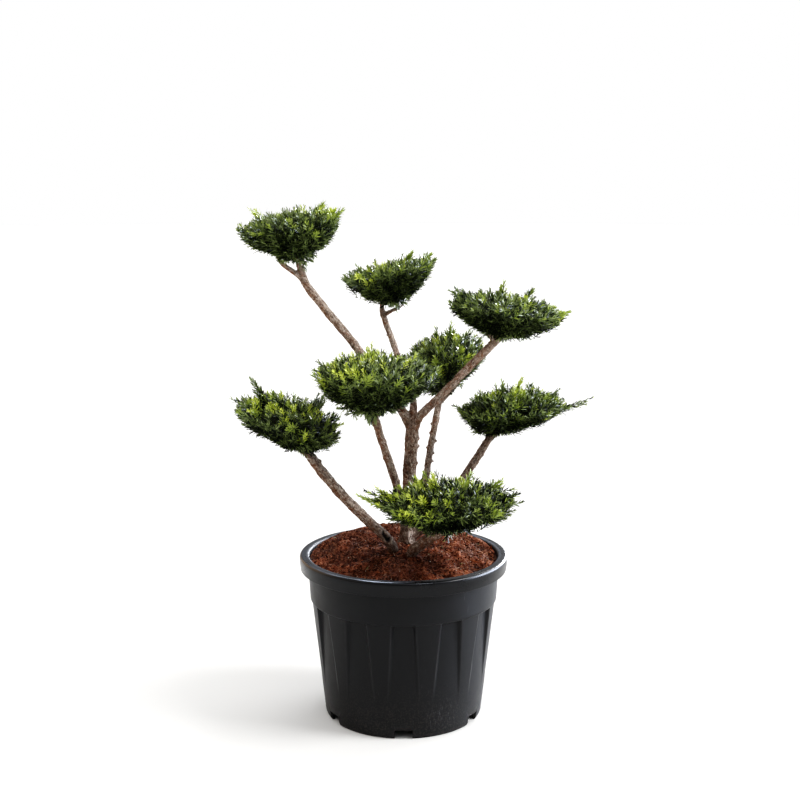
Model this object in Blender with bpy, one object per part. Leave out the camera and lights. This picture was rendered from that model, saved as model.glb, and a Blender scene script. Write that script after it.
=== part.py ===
"""A cloud-pruned yew, about a metre tall, standing in a black nursery pot of some 25 litres.

One stem group rises from the compost. Each bough carries one clipped cloud of foliage: a dense core
that toothed sprays of needles stand out of. Metres, +Z up, the origin under the middle of the pot,
and -Y the side that the low front cloud hangs over.
"""

import math
import random
from collections import namedtuple

import bmesh
import bpy
from mathutils import Matrix, Vector

GAP = 0.0003  # clearance between pieces that touch

# --- Pot: an injection-moulded container with a turned-down rim, a plain band and a fluted wall ---
POT_HEIGHT = 0.316
RIM_RADIUS = 0.200
RIM_DROP = 0.028  # height of the turned-down rim
RIM_MOUTH = 0.1815  # radius of the mouth, inside the rim
# The rim in section, as (in from its radius, down from its top), from its lower edge up over it.
RIM_SECTION = [(0.002, RIM_DROP), (0.0, 0.012), (0.004, 0.0028), (0.010, 0.0)]
WALL = 0.003
BAND_TOP_RADIUS = 0.1835
BAND_FOOT_RADIUS = 0.1800
SHOULDER_Z = 0.231  # where the band ends and the fluted wall begins
SHOULDER_STEP = 0.003
SHOULDER_FALL = 0.004
FOOT_RADIUS = 0.1490
FOOT_ROUND = 0.0035
FOOT_ROUND_HEIGHT = 0.010
FLUTES = 12
FLUTE_DEPTH = 0.0075  # at the shoulder; the flute runs out to nothing at FLUTE_FOOT_Z
FLUTE_FOOT_Z = 0.070
FLUTE_HALF_TOP = math.radians(7.5)
FLUTE_HALF_FOOT = math.radians(11.0)
FLUTE_SIDE = math.radians(2.0)  # how wide each sloping side of a flute is
NOTCHES = 6
NOTCH_WIDTH = 0.033
NOTCH_HEIGHT = 0.0175
DISH_RADIUS = 0.107  # the middle of the floor, which stands on the ground
CHANNEL_Z = 0.018  # roof of the drainage channel round the dish

# --- Compost: fills the pot, flat round the stems, heaped against the back of the rim ---
GROUND_Z = 0.330
GROUND_RADIUS = 0.095
SLOPE_RADII = (0.160, 0.128)  # of the rings on the slope from the rim to the flat ground
SOIL_SIDES = 32
SOIL_EDGE_Z = 0.3065
SOIL_HEAP = 0.0185  # how much higher the edge lies at the back
SOIL_CLEAR = 0.0010
SHOULDER_CLEAR = 0.0080  # height over the shoulder where the compost fills the band's width

# --- Limbs: each has the radius at its foot and at its tip, the point on the trunk's axis that its collar
# swells out from (None where it springs from the ground), and the points that its own axis runs through ---
TRUNK_SIDES = 10
BOUGH_SIDES = 8
STEPS_PER_SPAN = 2
FOOT_LIFT = 0.3  # how high the underside of a leaning limb is kept, as a share of its axis's height
Limb = namedtuple("Limb", "name foot_radius tip_radius collar axis")
TRUNK = Limb(
    "trunk", 0.0140, 0.0125, None,
    [(0.006, -0.009, GROUND_Z + GAP), (0.010, -0.005, 0.400), (0.012, 0.0, 0.478), (0.017, 0.0, 0.563)],
)
FLARE_RADIUS = 0.0205  # of the trunk at the ground, over the roots
FLARE_HEIGHT = 0.030
BOUGHS = [
    Limb("bough_top_left", 0.0088, 0.0078, (0.016, 0.001, 0.560),
         [(-0.004, 0.006, 0.595), (-0.085, 0.018, 0.706), (-0.142, 0.025, 0.776), (-0.183, 0.030, 0.829),
          (-0.191, 0.032, 0.849)]),
    Limb("bough_top_middle", 0.0072, 0.0058, (0.018, 0.001, 0.566),
         [(0.0195, 0.008, 0.606), (0.004, 0.030, 0.651), (-0.029, 0.070, 0.739), (-0.040, 0.083, 0.769)]),
    Limb("bough_upper_right", 0.0085, 0.0074, (0.017, 0.0, 0.556),
         [(0.032, -0.007, 0.586), (0.067, -0.015, 0.621), (0.144, -0.035, 0.704), (0.172, -0.045, 0.733)]),
    Limb("bough_back_right", 0.0075, 0.0066, (0.010, -0.004, 0.345),
         [(0.022, 0.016, 0.378), (0.045, 0.050, 0.461), (0.056, 0.080, 0.520), (0.071, 0.120, 0.589)]),
    Limb("bough_front_left", 0.0080, 0.0075, (0.012, -0.005, 0.372),
         [(-0.001, -0.024, 0.402), (-0.016, -0.045, 0.469), (-0.036, -0.075, 0.536),
          (-0.051, -0.105, 0.594)]),
    Limb("bough_low_left", 0.0102, 0.0097, None,
         [(-0.012, -0.053, GROUND_Z + GAP), (-0.027, -0.055, 0.356), (-0.101, -0.055, 0.427),
          (-0.152, -0.055, 0.486), (-0.178, -0.055, 0.523)]),
    Limb("bough_low_right", 0.0085, 0.0078, (0.010, -0.008, 0.343),
         [(0.033, 0.001, 0.359), (0.076, 0.012, 0.400), (0.147, 0.040, 0.501), (0.168, 0.050, 0.532)]),
    Limb("bough_low_front", 0.0118, 0.0102, None,
         [(0.013, -0.078, GROUND_Z + GAP), (0.021, -0.086, 0.346), (0.045, -0.110, 0.371),
          (0.084, -0.140, 0.408)]),
]
COLLAR_SWELL = 1.25  # a collar's radius where it leaves the trunk, as a share of the bough's
COLLAR_KNEE = 0.010  # how far under the bough's foot the collar turns into its line
COLLAR_KNEE_SWELL = 1.08
SCAR_RADIUS = 0.0075  # of the cut stub at the foot of the low left bough
SCAR_ROOT = Vector((-0.025, -0.055, 0.350))
SCAR_TIP = Vector((-0.031, -0.070, 0.362))
SCAR_SWELL = 1.2  # its radius at the root, as a share of the radius at the cut
SMOOTH_BARK = math.radians(50)  # edges less sharp than this are shaded smooth

# --- Clouds: each has the bough that carries it, the middle of its rim, its half widths, the dome over the
# rim, the roll that lifts the +X side, the foot where the stem goes in, where the twig of the stem's fork
# goes in, the seed of its sprays, and the tips of the leaders that have grown past the clipped outline ---
Cloud = namedtuple("Cloud", "name bough centre radii dome roll foot fork seed leaders")
CLOUDS = [
    Cloud("foliage_top_left", "bough_top_left", (-0.213, 0.035, 0.938), (0.106, 0.088), 0.036, 8.0,
          (-0.192, 0.033, 0.866), (-0.232, 0.034, 0.874), 21,
          [(-0.290, 0.030, 0.968), (-0.150, 0.040, 0.981), (-0.116, 0.020, 0.968)]),
    Cloud("foliage_top_middle", "bough_top_middle", (-0.025, 0.090, 0.844), (0.096, 0.082), 0.033, 8.0,
          (-0.036, 0.088, 0.787), (-0.003, 0.090, 0.786), 12,
          [(0.017, 0.085, 0.896), (0.052, 0.095, 0.880)]),
    Cloud("foliage_upper_right", "bough_upper_right", (0.190, -0.050, 0.794), (0.112, 0.092), 0.037, -9.0,
          (0.180, -0.047, 0.742), (0.148, -0.047, 0.764), 13,
          [(0.182, -0.055, 0.841), (0.302, -0.045, 0.790), (0.082, -0.052, 0.826)]),
    Cloud("foliage_back_right", "bough_back_right", (0.075, 0.150, 0.673), (0.093, 0.092), 0.054, 4.0,
          (0.074, 0.126, 0.600), (0.105, 0.142, 0.622), 14,
          [(0.095, 0.150, 0.742)]),
    Cloud("foliage_front_left", "bough_front_left", (-0.053, -0.130, 0.674), (0.122, 0.098), 0.048, 0.0,
          (-0.054, -0.112, 0.604), (-0.020, -0.125, 0.626), 15,
          [(-0.057, -0.125, 0.732), (0.069, -0.120, 0.690)]),
    Cloud("foliage_low_left", "bough_low_left", (-0.214, -0.055, 0.590), (0.103, 0.090), 0.056, -11.0,
          (-0.184, -0.055, 0.532), (-0.222, -0.056, 0.552), 16,
          [(-0.282, -0.050, 0.660), (-0.318, -0.055, 0.622), (-0.112, -0.060, 0.575)]),
    Cloud("foliage_low_right", "bough_low_right", (0.213, 0.055, 0.588), (0.112, 0.088), 0.044, 3.0,
          (0.173, 0.052, 0.541), (0.213, 0.056, 0.556), 17,
          [(0.363, 0.050, 0.609), (0.232, 0.060, 0.646), (0.100, 0.055, 0.590)]),
    Cloud("foliage_low_front", "bough_low_front", (0.064, -0.160, 0.458), (0.144, 0.094), 0.044, 0.0,
          (0.080, -0.148, 0.404), (0.122, -0.165, 0.424), 18,
          [(-0.090, -0.155, 0.467), (0.212, -0.165, 0.452), (0.150, -0.150, 0.500)]),
]
LOBE_SHARE = 0.06  # how far the rim of a cloud waves in and out
BOWL_POWER = 2.6  # how full the underside is: 1 would be a straight cone
CORE_INSET = 0.024  # how far the core's rim lies inside the clipped outline
CORE_TOP_SINK = 0.019
CORE_FOOT_SINK = 0.010
CORE_LUMPS = 0.006  # how far its points stray
CORE_SIDES = 12
CORE_SEED = 100
CORE_LEVELS = (-0.86, -0.5, -0.12, 0.22, 0.62)  # from the foot, -1, by the rim, 0, to the top, 1
HUB_SHARE = 0.45  # where the stem ends, up the line from a cloud's foot to its middle
STEM_TAPER = (1.0, 0.85, 0.6)  # of the bough's tip radius, as the twigs' is
STEM_BEND = 0.3  # how far the stem's middle holds on in the bough's line: 1 would be straight on
TWIG_START = 0.6  # where the twig leaves the stem, up its lower half
TWIG_KNEE = 0.6  # where the twig is bent, up its free length
TWIG_TAPER = (0.60, 0.52, 0.46, 0.36)
TWIG_SIDES = 5
TWIG_SAG = 0.10  # of a fork's twig, as a share of its length up to the core
TWIG_SINK = 0.4  # how far the twig goes on in the core, towards its middle

# --- Sprays: a blade along a twig, with needles as teeth on both sides and one at the tip ---
SPRAYS = 22
LOWEST_SPRAY = 0.85  # how far down towards the foot they go
TOP_SHARE = 0.60  # of the sprays, that stand on the top; the others hang from the underside
SPRAY_LENGTH = (0.044, 0.056)
# One side of the blade from its root, as (along, aside) shares of its length: a tip after each notch.
BLADE_SIDE = [(0.0, 0.035), (0.50, 0.035), (0.61, 0.34), (0.63, 0.06), (0.83, 0.27), (0.74, 0.050),
              (0.96, 0.125), (0.88, 0.025)]
RIDGE_SHARE = 0.60  # where along the blade it is thickest
BLADE_THICK = 0.0026
BLADE_REACH = 0.34  # the widest half width, as a share of the length
LEADER_WIDTH = 0.55  # the width of a leader's blade, as a share of a spray's
LEADER_SHARE = 0.62  # how far back to the cloud's hub a leader's root lies
ROOT_LOW, ROOT_HIGH = 0.20, 0.62  # where sprays spread from, up the line from a cloud's foot to its middle
GROWTH_STRAY = 0.16  # how far their direction strays
LIMB_CLEAR = 0.004  # how near to a limb their edge may come
GOLDEN_ANGLE = math.pi * (3 - math.sqrt(5))


def start_clean():
    for obj in list(bpy.data.objects):
        bpy.data.objects.remove(obj)


def material(name, colour, roughness, specular=0.5):
    """A Principled BSDF with a linear colour. Nothing on the plant or the pot is metal."""
    made = bpy.data.materials.new(name)
    made.use_nodes = True
    shader = made.node_tree.nodes["Principled BSDF"]
    shader.inputs["Base Color"].default_value = (*colour, 1.0)
    shader.inputs["Roughness"].default_value = roughness
    shader.inputs["Metallic"].default_value = 0.0
    shader.inputs["Specular IOR Level"].default_value = specular
    made.diffuse_color = (*colour, 1.0)
    return made


def object_of(name, mesh_builder, finish, smooth_below=None):
    """A linked object from a bmesh, with its material, shaded smooth up to an edge angle if one is given."""
    mesh = bpy.data.meshes.new(name)
    bmesh.ops.triangulate(mesh_builder, faces=mesh_builder.faces)
    bmesh.ops.recalc_face_normals(mesh_builder, faces=mesh_builder.faces)
    mesh_builder.to_mesh(mesh)
    mesh_builder.free()
    mesh.materials.append(finish)
    if smooth_below is not None:
        mesh.shade_smooth()
        mesh.set_sharp_from_angle(angle=smooth_below)
    obj = bpy.data.objects.new(name, mesh)
    bpy.context.scene.collection.objects.link(obj)
    return obj


def skin(rings):
    """A closed body over rings with the same number of points, with a flat face on the first and the last."""
    builder = bmesh.new()
    loops = [[builder.verts.new(point) for point in ring] for ring in rings]
    for low, high in zip(loops, loops[1:]):
        for i in range(len(low)):
            j = (i + 1) % len(low)
            builder.faces.new((low[i], low[j], high[j], high[i]))
    builder.faces.new(list(reversed(loops[0])))
    builder.faces.new(loops[-1])
    return builder


def apply_modifier(obj):
    """Replaces the object's mesh by what its modifiers make of it."""
    graph = bpy.context.evaluated_depsgraph_get()
    made = bpy.data.meshes.new_from_object(obj.evaluated_get(graph))
    obj.modifiers.clear()
    obj.data = made


def boolean(obj, others, operation, solver="EXACT"):
    """One Boolean with a collection of helper objects, applied, after which the helpers are removed."""
    helpers = bpy.data.collections.new(obj.name + "_helpers")
    bpy.context.scene.collection.children.link(helpers)
    for other in others:
        bpy.context.scene.collection.objects.unlink(other)
        helpers.objects.link(other)
    modifier = obj.modifiers.new(operation.lower(), "BOOLEAN")
    modifier.operation = operation
    modifier.solver = solver
    modifier.operand_type = "COLLECTION"
    modifier.collection = helpers
    apply_modifier(obj)
    for other in others:
        bpy.data.objects.remove(other)
    bpy.data.collections.remove(helpers)


def keep_one_body(obj):
    """Drops loose scraps, and the inner shells of hollows that a union has sealed."""
    builder = bmesh.new()
    builder.from_mesh(obj.data)
    unseen = set(builder.verts)
    islands = []
    while unseen:
        island, front = set(), [unseen.pop()]
        while front:
            vert = front.pop()
            island.add(vert)
            for edge in vert.link_edges:
                other = edge.other_vert(vert)
                if other in unseen:
                    unseen.discard(other)
                    front.append(other)
        islands.append(island)
    islands.sort(key=len, reverse=True)
    scraps = [vert for island in islands[1:] for vert in island]
    bmesh.ops.delete(builder, geom=scraps, context="VERTS")
    builder.to_mesh(obj.data)
    builder.free()


def mix(a, b, share):
    return a + (b - a) * share


# ---------------------------------------------------------------- pot


def flute_share(z):
    """0 at the foot of the flutes and 1 at the shoulder."""
    return min(1.0, max(0.0, (z - FLUTE_FOOT_Z) / (SHOULDER_Z - SHOULDER_FALL - FLUTE_FOOT_Z)))


def pot_ring(radius, z, fluted=False):
    """One level of the pot: five points for each flute and the panel beside it."""
    depth = FLUTE_DEPTH * flute_share(z) if fluted else 0.0
    half = mix(FLUTE_HALF_FOOT, FLUTE_HALF_TOP, flute_share(z))
    ring = []
    for k in range(FLUTES):
        middle = -math.pi / 2 + k * 2 * math.pi / FLUTES
        columns = (
            (-half, radius),
            (-half + FLUTE_SIDE, radius - depth),
            (half - FLUTE_SIDE, radius - depth),
            (half, radius),
            (math.pi / FLUTES, radius),
        )
        for turn, reach in columns:
            ring.append(Vector((reach * math.cos(middle + turn), reach * math.sin(middle + turn), z)))
    return ring


def panel_radius(z):
    """The fluted wall between the round of the foot and the shoulder."""
    low, high = FOOT_ROUND_HEIGHT, SHOULDER_Z - SHOULDER_FALL
    return mix(FOOT_RADIUS + FOOT_ROUND, BAND_FOOT_RADIUS - SHOULDER_STEP, (z - low) / (high - low))


def build_pot(finish):
    """The shell as one skin, from under the dish, out and up the wall, over the rim and down inside."""
    wall_top_z = SHOULDER_Z - SHOULDER_FALL
    dish_inner = DISH_RADIUS - WALL
    channel_floor_z = CHANNEL_Z + WALL
    skirt_inner = FOOT_RADIUS - WALL - 0.001
    rings = [
        pot_ring(DISH_RADIUS, 0.0),
        pot_ring(DISH_RADIUS, CHANNEL_Z),
        pot_ring(skirt_inner, CHANNEL_Z),
        pot_ring(skirt_inner, 0.0),
        pot_ring(FOOT_RADIUS, 0.0),
        pot_ring(panel_radius(FOOT_ROUND_HEIGHT), FOOT_ROUND_HEIGHT),
        pot_ring(panel_radius(FLUTE_FOOT_Z), FLUTE_FOOT_Z, fluted=True),
        pot_ring(panel_radius(wall_top_z), wall_top_z, fluted=True),
        pot_ring(BAND_FOOT_RADIUS, SHOULDER_Z),
        pot_ring(BAND_TOP_RADIUS, POT_HEIGHT - RIM_DROP + 0.002),
        *(pot_ring(RIM_RADIUS - inward, POT_HEIGHT - down) for inward, down in RIM_SECTION),
        pot_ring(RIM_MOUTH, POT_HEIGHT - WALL),
        pot_ring(BAND_FOOT_RADIUS - WALL, SHOULDER_Z + 0.002),
        pot_ring(panel_radius(wall_top_z) - WALL, wall_top_z + 0.001, fluted=True),
        pot_ring(panel_radius(FLUTE_FOOT_Z) - WALL, FLUTE_FOOT_Z + 0.001, fluted=True),
        pot_ring(FOOT_RADIUS - WALL + 0.002, channel_floor_z),
        pot_ring(dish_inner, channel_floor_z),
        pot_ring(dish_inner, WALL),
    ]
    pot = object_of("pot", skin(rings), finish)
    boolean(pot, [notch_cutter(k, finish) for k in range(NOTCHES)], "DIFFERENCE")
    pot.data.shade_smooth()
    pot.data.set_sharp_from_angle(angle=math.radians(32))
    return pot


def notch_cutter(k, finish):
    """A box across the skirt, which opens the drainage channel to the outside."""
    builder = bmesh.new()
    bmesh.ops.create_cube(builder, size=1.0)
    size = Matrix.Diagonal((NOTCH_WIDTH, 10 * WALL, 2 * NOTCH_HEIGHT, 1.0))
    seat = Matrix.Translation((0.0, -(FOOT_RADIUS - WALL), 0.0))
    bmesh.ops.transform(
        builder, matrix=Matrix.Rotation(k * 2 * math.pi / NOTCHES, 4, "Z") @ seat @ size, verts=builder.verts
    )
    cutter = object_of(f"notch_cutter_{k}", builder, finish)
    cutter.hide_render = True
    cutter.display_type = "WIRE"
    return cutter


# ---------------------------------------------------------------- compost


def soil_height(radius, turn):
    """The surface of the compost: flat round the stems, falling to the rim, least at the back."""
    edge = SOIL_EDGE_Z + SOIL_HEAP * max(0.0, math.sin(turn)) ** 1.2
    outer = RIM_MOUTH - WALL
    share = min(1.0, max(0.0, (radius - GROUND_RADIUS) / (outer - GROUND_RADIUS)))
    return mix(GROUND_Z, edge, share * share * (3 - 2 * share))


def soil_ring(radius, height):
    """A ring of the compost, at a height or, where it is None, on the surface."""
    ring = []
    for i in range(SOIL_SIDES):
        turn = i * 2 * math.pi / SOIL_SIDES
        z = soil_height(radius, turn) if height is None else height
        ring.append(Vector((radius * math.cos(turn), radius * math.sin(turn), z)))
    return ring


def build_soil(finish):
    floor_z = CHANNEL_Z + WALL + GAP
    dish_radius = DISH_RADIUS - WALL - 2.5 * SOIL_CLEAR
    wall_top_z = SHOULDER_Z - SHOULDER_FALL
    wall_radius = panel_radius(wall_top_z) - WALL - FLUTE_DEPTH - SOIL_CLEAR
    foot_radius = FOOT_RADIUS - WALL - SOIL_CLEAR
    band_radius = BAND_FOOT_RADIUS - WALL - SOIL_CLEAR
    rings = [
        soil_ring(dish_radius, WALL + GAP),
        soil_ring(dish_radius, floor_z),
        soil_ring(foot_radius, floor_z),
        soil_ring(wall_radius, wall_top_z + 1.5 * SOIL_CLEAR),
        soil_ring(band_radius, SHOULDER_Z + SHOULDER_CLEAR),
        *(soil_ring(radius, None) for radius in (RIM_MOUTH - WALL, *SLOPE_RADII, GROUND_RADIUS)),
    ]
    return object_of("compost", skin(rings), finish, math.radians(40))


# ---------------------------------------------------------------- limbs


def smooth_axis(points, steps):
    """Points on the Catmull-Rom curve through the given ones, with that many steps to a span."""
    knots = [Vector(p) for p in points]
    ends = [2 * knots[0] - knots[1], *knots, 2 * knots[-1] - knots[-2]]
    curve = []
    for a, b, c, d in zip(ends, ends[1:], ends[2:], ends[3:]):
        for i in range(steps):
            t = i / steps
            curve.append(0.5 * (2 * b + (c - a) * t + (2 * a - 5 * b + 4 * c - d) * t * t
                                + (3 * b - a - 3 * c + d) * t ** 3))
    return [*curve, knots[-1]]


def tube_rings(axis, radii, sides, level_foot=False):
    """Rings square to an axis. A level foot lies flat on the ground, and the rings over it stay above it."""
    rings = []
    side = Vector((1.0, 0.0, 0.0))
    for i, point in enumerate(axis):
        ahead = axis[min(i + 1, len(axis) - 1)] - axis[max(i - 1, 0)]
        along = Vector((0.0, 0.0, 1.0)) if level_foot and i == 0 else ahead.normalized()
        side = (side - side.dot(along) * along).normalized()
        across = along.cross(side)
        ring = [
            point + radii[i] * (math.cos(turn) * side + math.sin(turn) * across)
            for turn in (k * 2 * math.pi / sides for k in range(sides))
        ]
        if level_foot:
            for corner in ring:
                corner.z = max(corner.z, mix(axis[0].z, point.z, FOOT_LIFT))
        rings.append(ring)
    return rings


def square_ring(middle, along, radius, sides):
    """One ring square to a direction, as a bough's foot and tip have it."""
    return tube_rings([middle, middle + along], [radius, radius], sides)[0]


def limb_axis(limb):
    return smooth_axis(limb.axis, STEPS_PER_SPAN)


def limb_radii(limb, count):
    return [mix(limb.foot_radius, limb.tip_radius, i / (count - 1)) for i in range(count)]


def build_bough(limb, finish):
    axis = limb_axis(limb)
    rings = tube_rings(axis, limb_radii(limb, len(axis)), BOUGH_SIDES, level_foot=limb.collar is None)
    return object_of(limb.name, skin(rings), finish, SMOOTH_BARK)


def build_collar(bough, finish):
    """The trunk's swelling under a bough, ending GAP short of the bough's foot."""
    foot, after = limb_axis(bough)[:2]
    along = (after - foot).normalized()
    end = foot - GAP * along
    axis = [Vector(bough.collar), end - COLLAR_KNEE * along, end]
    radii = [bough.foot_radius * swell for swell in (COLLAR_SWELL, COLLAR_KNEE_SWELL, 1.0)]
    rings = tube_rings(axis, radii, BOUGH_SIDES)
    rings[-1] = square_ring(end, along, bough.foot_radius, BOUGH_SIDES)
    return object_of(f"{bough.name}_collar", skin(rings), finish)


def build_trunk(finish):
    axis = limb_axis(TRUNK)
    flare_top = axis[0] + FLARE_HEIGHT * (axis[1] - axis[0]).normalized()
    axis.insert(1, flare_top)
    radii = limb_radii(TRUNK, len(axis))
    radii[0] = FLARE_RADIUS
    trunk = object_of("trunk", skin(tube_rings(axis, radii, TRUNK_SIDES, True)), finish)
    boolean(trunk, [build_collar(bough, finish) for bough in BOUGHS if bough.collar], "UNION")
    keep_one_body(trunk)
    trunk.data.shade_smooth()
    trunk.data.set_sharp_from_angle(angle=SMOOTH_BARK)
    return trunk


def add_scar(bough, finish):
    """The stub of a bough that was sawn off, on the foot of the low left one."""
    rings = tube_rings([SCAR_ROOT, SCAR_TIP], [SCAR_SWELL * SCAR_RADIUS, SCAR_RADIUS], BOUGH_SIDES)
    scar = object_of("scar", skin(rings), finish)
    boolean(bough, [scar], "UNION")


# ---------------------------------------------------------------- foliage


def cloud_frame(cloud):
    return Matrix.Translation(cloud.centre) @ Matrix.Rotation(-math.radians(cloud.roll), 4, "Y")


def cloud_point(cloud, turn, level, in_core=False):
    """A point of the clipped outline, or of the core inside it. turn is the angle round the cloud; level is
    -1 at the foot, 0 on the rim and 1 on top."""
    inset, top_sink, foot_sink = (CORE_INSET, CORE_TOP_SINK, CORE_FOOT_SINK) if in_core else (0.0, 0.0, 0.0)
    wave = 1 + LOBE_SHARE * math.sin(3 * turn + cloud.seed) * math.cos(2 * turn)
    rim = Vector((
        (cloud.radii[0] * wave - inset) * math.cos(turn),
        (cloud.radii[1] * wave - inset) * math.sin(turn),
        0.0,
    ))
    frame = cloud_frame(cloud)
    if level >= 0:
        lift = level * math.pi / 2
        return frame @ (rim * math.cos(lift) + Vector((0, 0, (cloud.dome - top_sink) * math.sin(lift))))
    drop = -level
    foot = frame.inverted() @ Vector(cloud.foot)
    foot.z += foot_sink
    return frame @ (rim * (1 - drop ** BOWL_POWER) + foot * drop)


def spread_over_cloud(count):
    """(turn, level) of points spread evenly over a cloud by the golden angle, from the top down."""
    places = []
    for i in range(count):
        share = (i + 0.5) / count
        if share < TOP_SHARE:
            level = math.acos(math.sqrt(share / TOP_SHARE)) * 2 / math.pi
        else:
            level = -LOWEST_SPRAY * (share - TOP_SHARE) / (1 - TOP_SHARE)
        places.append((i * GOLDEN_ANGLE, level))
    return places


def spray(name, root, tip, roll, width, finish):
    """A blade from root to tip, thickest on the twig and sharp along the edge of its needles."""
    length = (tip - root).length
    along = (tip - root) / length
    aside = along.cross(Vector((math.cos(roll), math.sin(roll), 0.3))).normalized()
    above = along.cross(aside)
    builder = bmesh.new()
    one_side = [root + length * (x * along + width * y * aside) for x, y in BLADE_SIDE]
    other_side = [root + length * (x * along - width * y * aside) for x, y in reversed(BLADE_SIDE)]
    edge = [builder.verts.new(point) for point in (*one_side, tip, *other_side)]
    for way in (-1, 1):
        ridge = builder.verts.new(root + RIDGE_SHARE * length * along + way * BLADE_THICK / 2 * above)
        for p, q in zip(edge, edge[1:] + edge[:1]):
            builder.faces.new((ridge, p, q))
    return object_of(name, builder, finish)


def distance_to_segment(point, a, b):
    share = max(0.0, min(1.0, (point - a).dot(b - a) / (b - a).length_squared))
    return (point - a - share * (b - a)).length


def clear_of_limbs(root, tip):
    """Whether a spray keeps off the trunk and all boughs, over its width."""
    width = BLADE_REACH * (tip - root).length
    samples = [root.lerp(tip, share) for share in (0.4, 0.6, 0.8, 1.0)]
    for limb in (TRUNK, *BOUGHS):
        axis = limb_axis(limb)
        radii = limb_radii(limb, len(axis))
        for a, b, radius in zip(axis, axis[1:], radii):
            if min(distance_to_segment(p, a, b) for p in samples) < radius + width + LIMB_CLEAR:
                return False
    return True


def hub_of(cloud, share=HUB_SHARE):
    """A point on the line from a cloud's foot to its middle, where twigs and shoots spread from."""
    return Vector(cloud.foot).lerp(Vector(cloud.centre), share)


def build_sprays(cloud, finish):
    """Sprays by the seeded rule: spread over the outline, the upper ones from low in the cloud so that they
    turn up, and the lower ones from high in it so that they droop over the foot."""
    rule = random.Random(cloud.seed)
    made = []
    for turn, level in spread_over_cloud(SPRAYS):
        tip = cloud_point(cloud, turn, level)
        stray = Vector([rule.uniform(-1, 1) for _ in range(3)]) * GROWTH_STRAY
        spread = hub_of(cloud, mix(ROOT_LOW, ROOT_HIGH, max(0.0, -level)))
        growth = ((tip - spread).normalized() + stray).normalized()
        length = min(rule.uniform(*SPRAY_LENGTH), 0.9 * (tip - spread).length)
        root = tip - growth * length
        roll = rule.uniform(0, math.pi)
        if clear_of_limbs(root, tip):
            made.append(spray(f"{cloud.name}_spray_{len(made)}", root, tip, roll, 1.0, finish))
    for tip in map(Vector, cloud.leaders):
        root = tip.lerp(hub_of(cloud), LEADER_SHARE)
        roll = rule.uniform(0, math.pi)
        made.append(spray(f"{cloud.name}_leader_{len(made)}", root, tip, roll, LEADER_WIDTH, finish))
    return made


def build_stem(cloud, finish):
    """The stem that goes on from the bough's tip, with the twig of its fork, both sunk in the core."""
    bough = next(limb for limb in BOUGHS if limb.name == cloud.bough)
    before, tip = limb_axis(bough)[-2:]
    along = (tip - before).normalized()
    start = tip + GAP * along
    hub = hub_of(cloud)
    reach = (hub - start).length
    bend = start.lerp(hub, 0.5) + (along * reach - (hub - start)) * STEM_BEND
    stem = tube_rings([start, bend, hub], [share * bough.tip_radius for share in STEM_TAPER], BOUGH_SIDES)
    stem[0] = square_ring(start, along, bough.tip_radius, BOUGH_SIDES)
    fork, entry = start.lerp(bend, TWIG_START), Vector(cloud.fork)
    knee = fork.lerp(entry, TWIG_KNEE) - Vector((0.0, 0.0, TWIG_SAG * (entry - fork).length))
    twig_axis = [fork, knee, entry, entry.lerp(Vector(cloud.centre), TWIG_SINK)]
    twig = tube_rings(twig_axis, [share * bough.tip_radius for share in TWIG_TAPER], TWIG_SIDES)
    return [
        object_of(f"{cloud.name}_stem", skin(stem), finish),
        object_of(f"{cloud.name}_twig", skin(twig), finish),
    ]


def build_cloud(cloud, finish):
    """One clipped cloud: the core, the stem and its twigs, and the sprays, fused into one body."""
    rule = random.Random(CORE_SEED + cloud.seed)
    rings = [
        [cloud_point(cloud, k * 2 * math.pi / CORE_SIDES, level, in_core=True)
         + Vector([rule.uniform(-1, 1) for _ in range(3)]) * CORE_LUMPS
         for k in range(CORE_SIDES)]
        for level in CORE_LEVELS
    ]
    core = object_of(cloud.name, skin(rings), finish)
    boolean(core, build_stem(cloud, finish) + build_sprays(cloud, finish), "UNION", "MANIFOLD")
    keep_one_body(core)
    return core


def main():
    start_clean()
    plastic = material("black_polypropylene", (0.016, 0.017, 0.019), 0.42)
    compost = material("bark_compost", (0.105, 0.036, 0.020), 0.95, 0.2)
    bark = material("yew_bark", (0.175, 0.095, 0.066), 0.85, 0.3)
    needles = material("yew_needles", (0.030, 0.085, 0.022), 0.45)
    build_pot(plastic)
    build_soil(compost)
    build_trunk(bark)
    for limb in BOUGHS:
        bough = build_bough(limb, bark)
        if limb.name == "bough_low_left":
            add_scar(bough, bark)
    for cloud in CLOUDS:
        build_cloud(cloud, needles)


main()
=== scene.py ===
# %% [markdown]
# # A cloud-pruned yew in a nursery pot
#
# A yew kept as a small cloud tree: a few stems lean out of a black plastic nursery pot, and each one carries
# a single clipped cloud of foliage. The lesson dresses the imported CAD model. The limbs get bark, the pot
# gets its moulded detail, the compost gets its crumbs, and every cloud is grown out of twigs and needles.
#
# We start from the imported model, because each piece has to stand where its CAD solid stands.

# %% Load the imported model
import math
from collections import namedtuple

import bpy
import numpy as np
from mathutils import Matrix, Vector, noise
from mathutils.kdtree import KDTree


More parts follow.
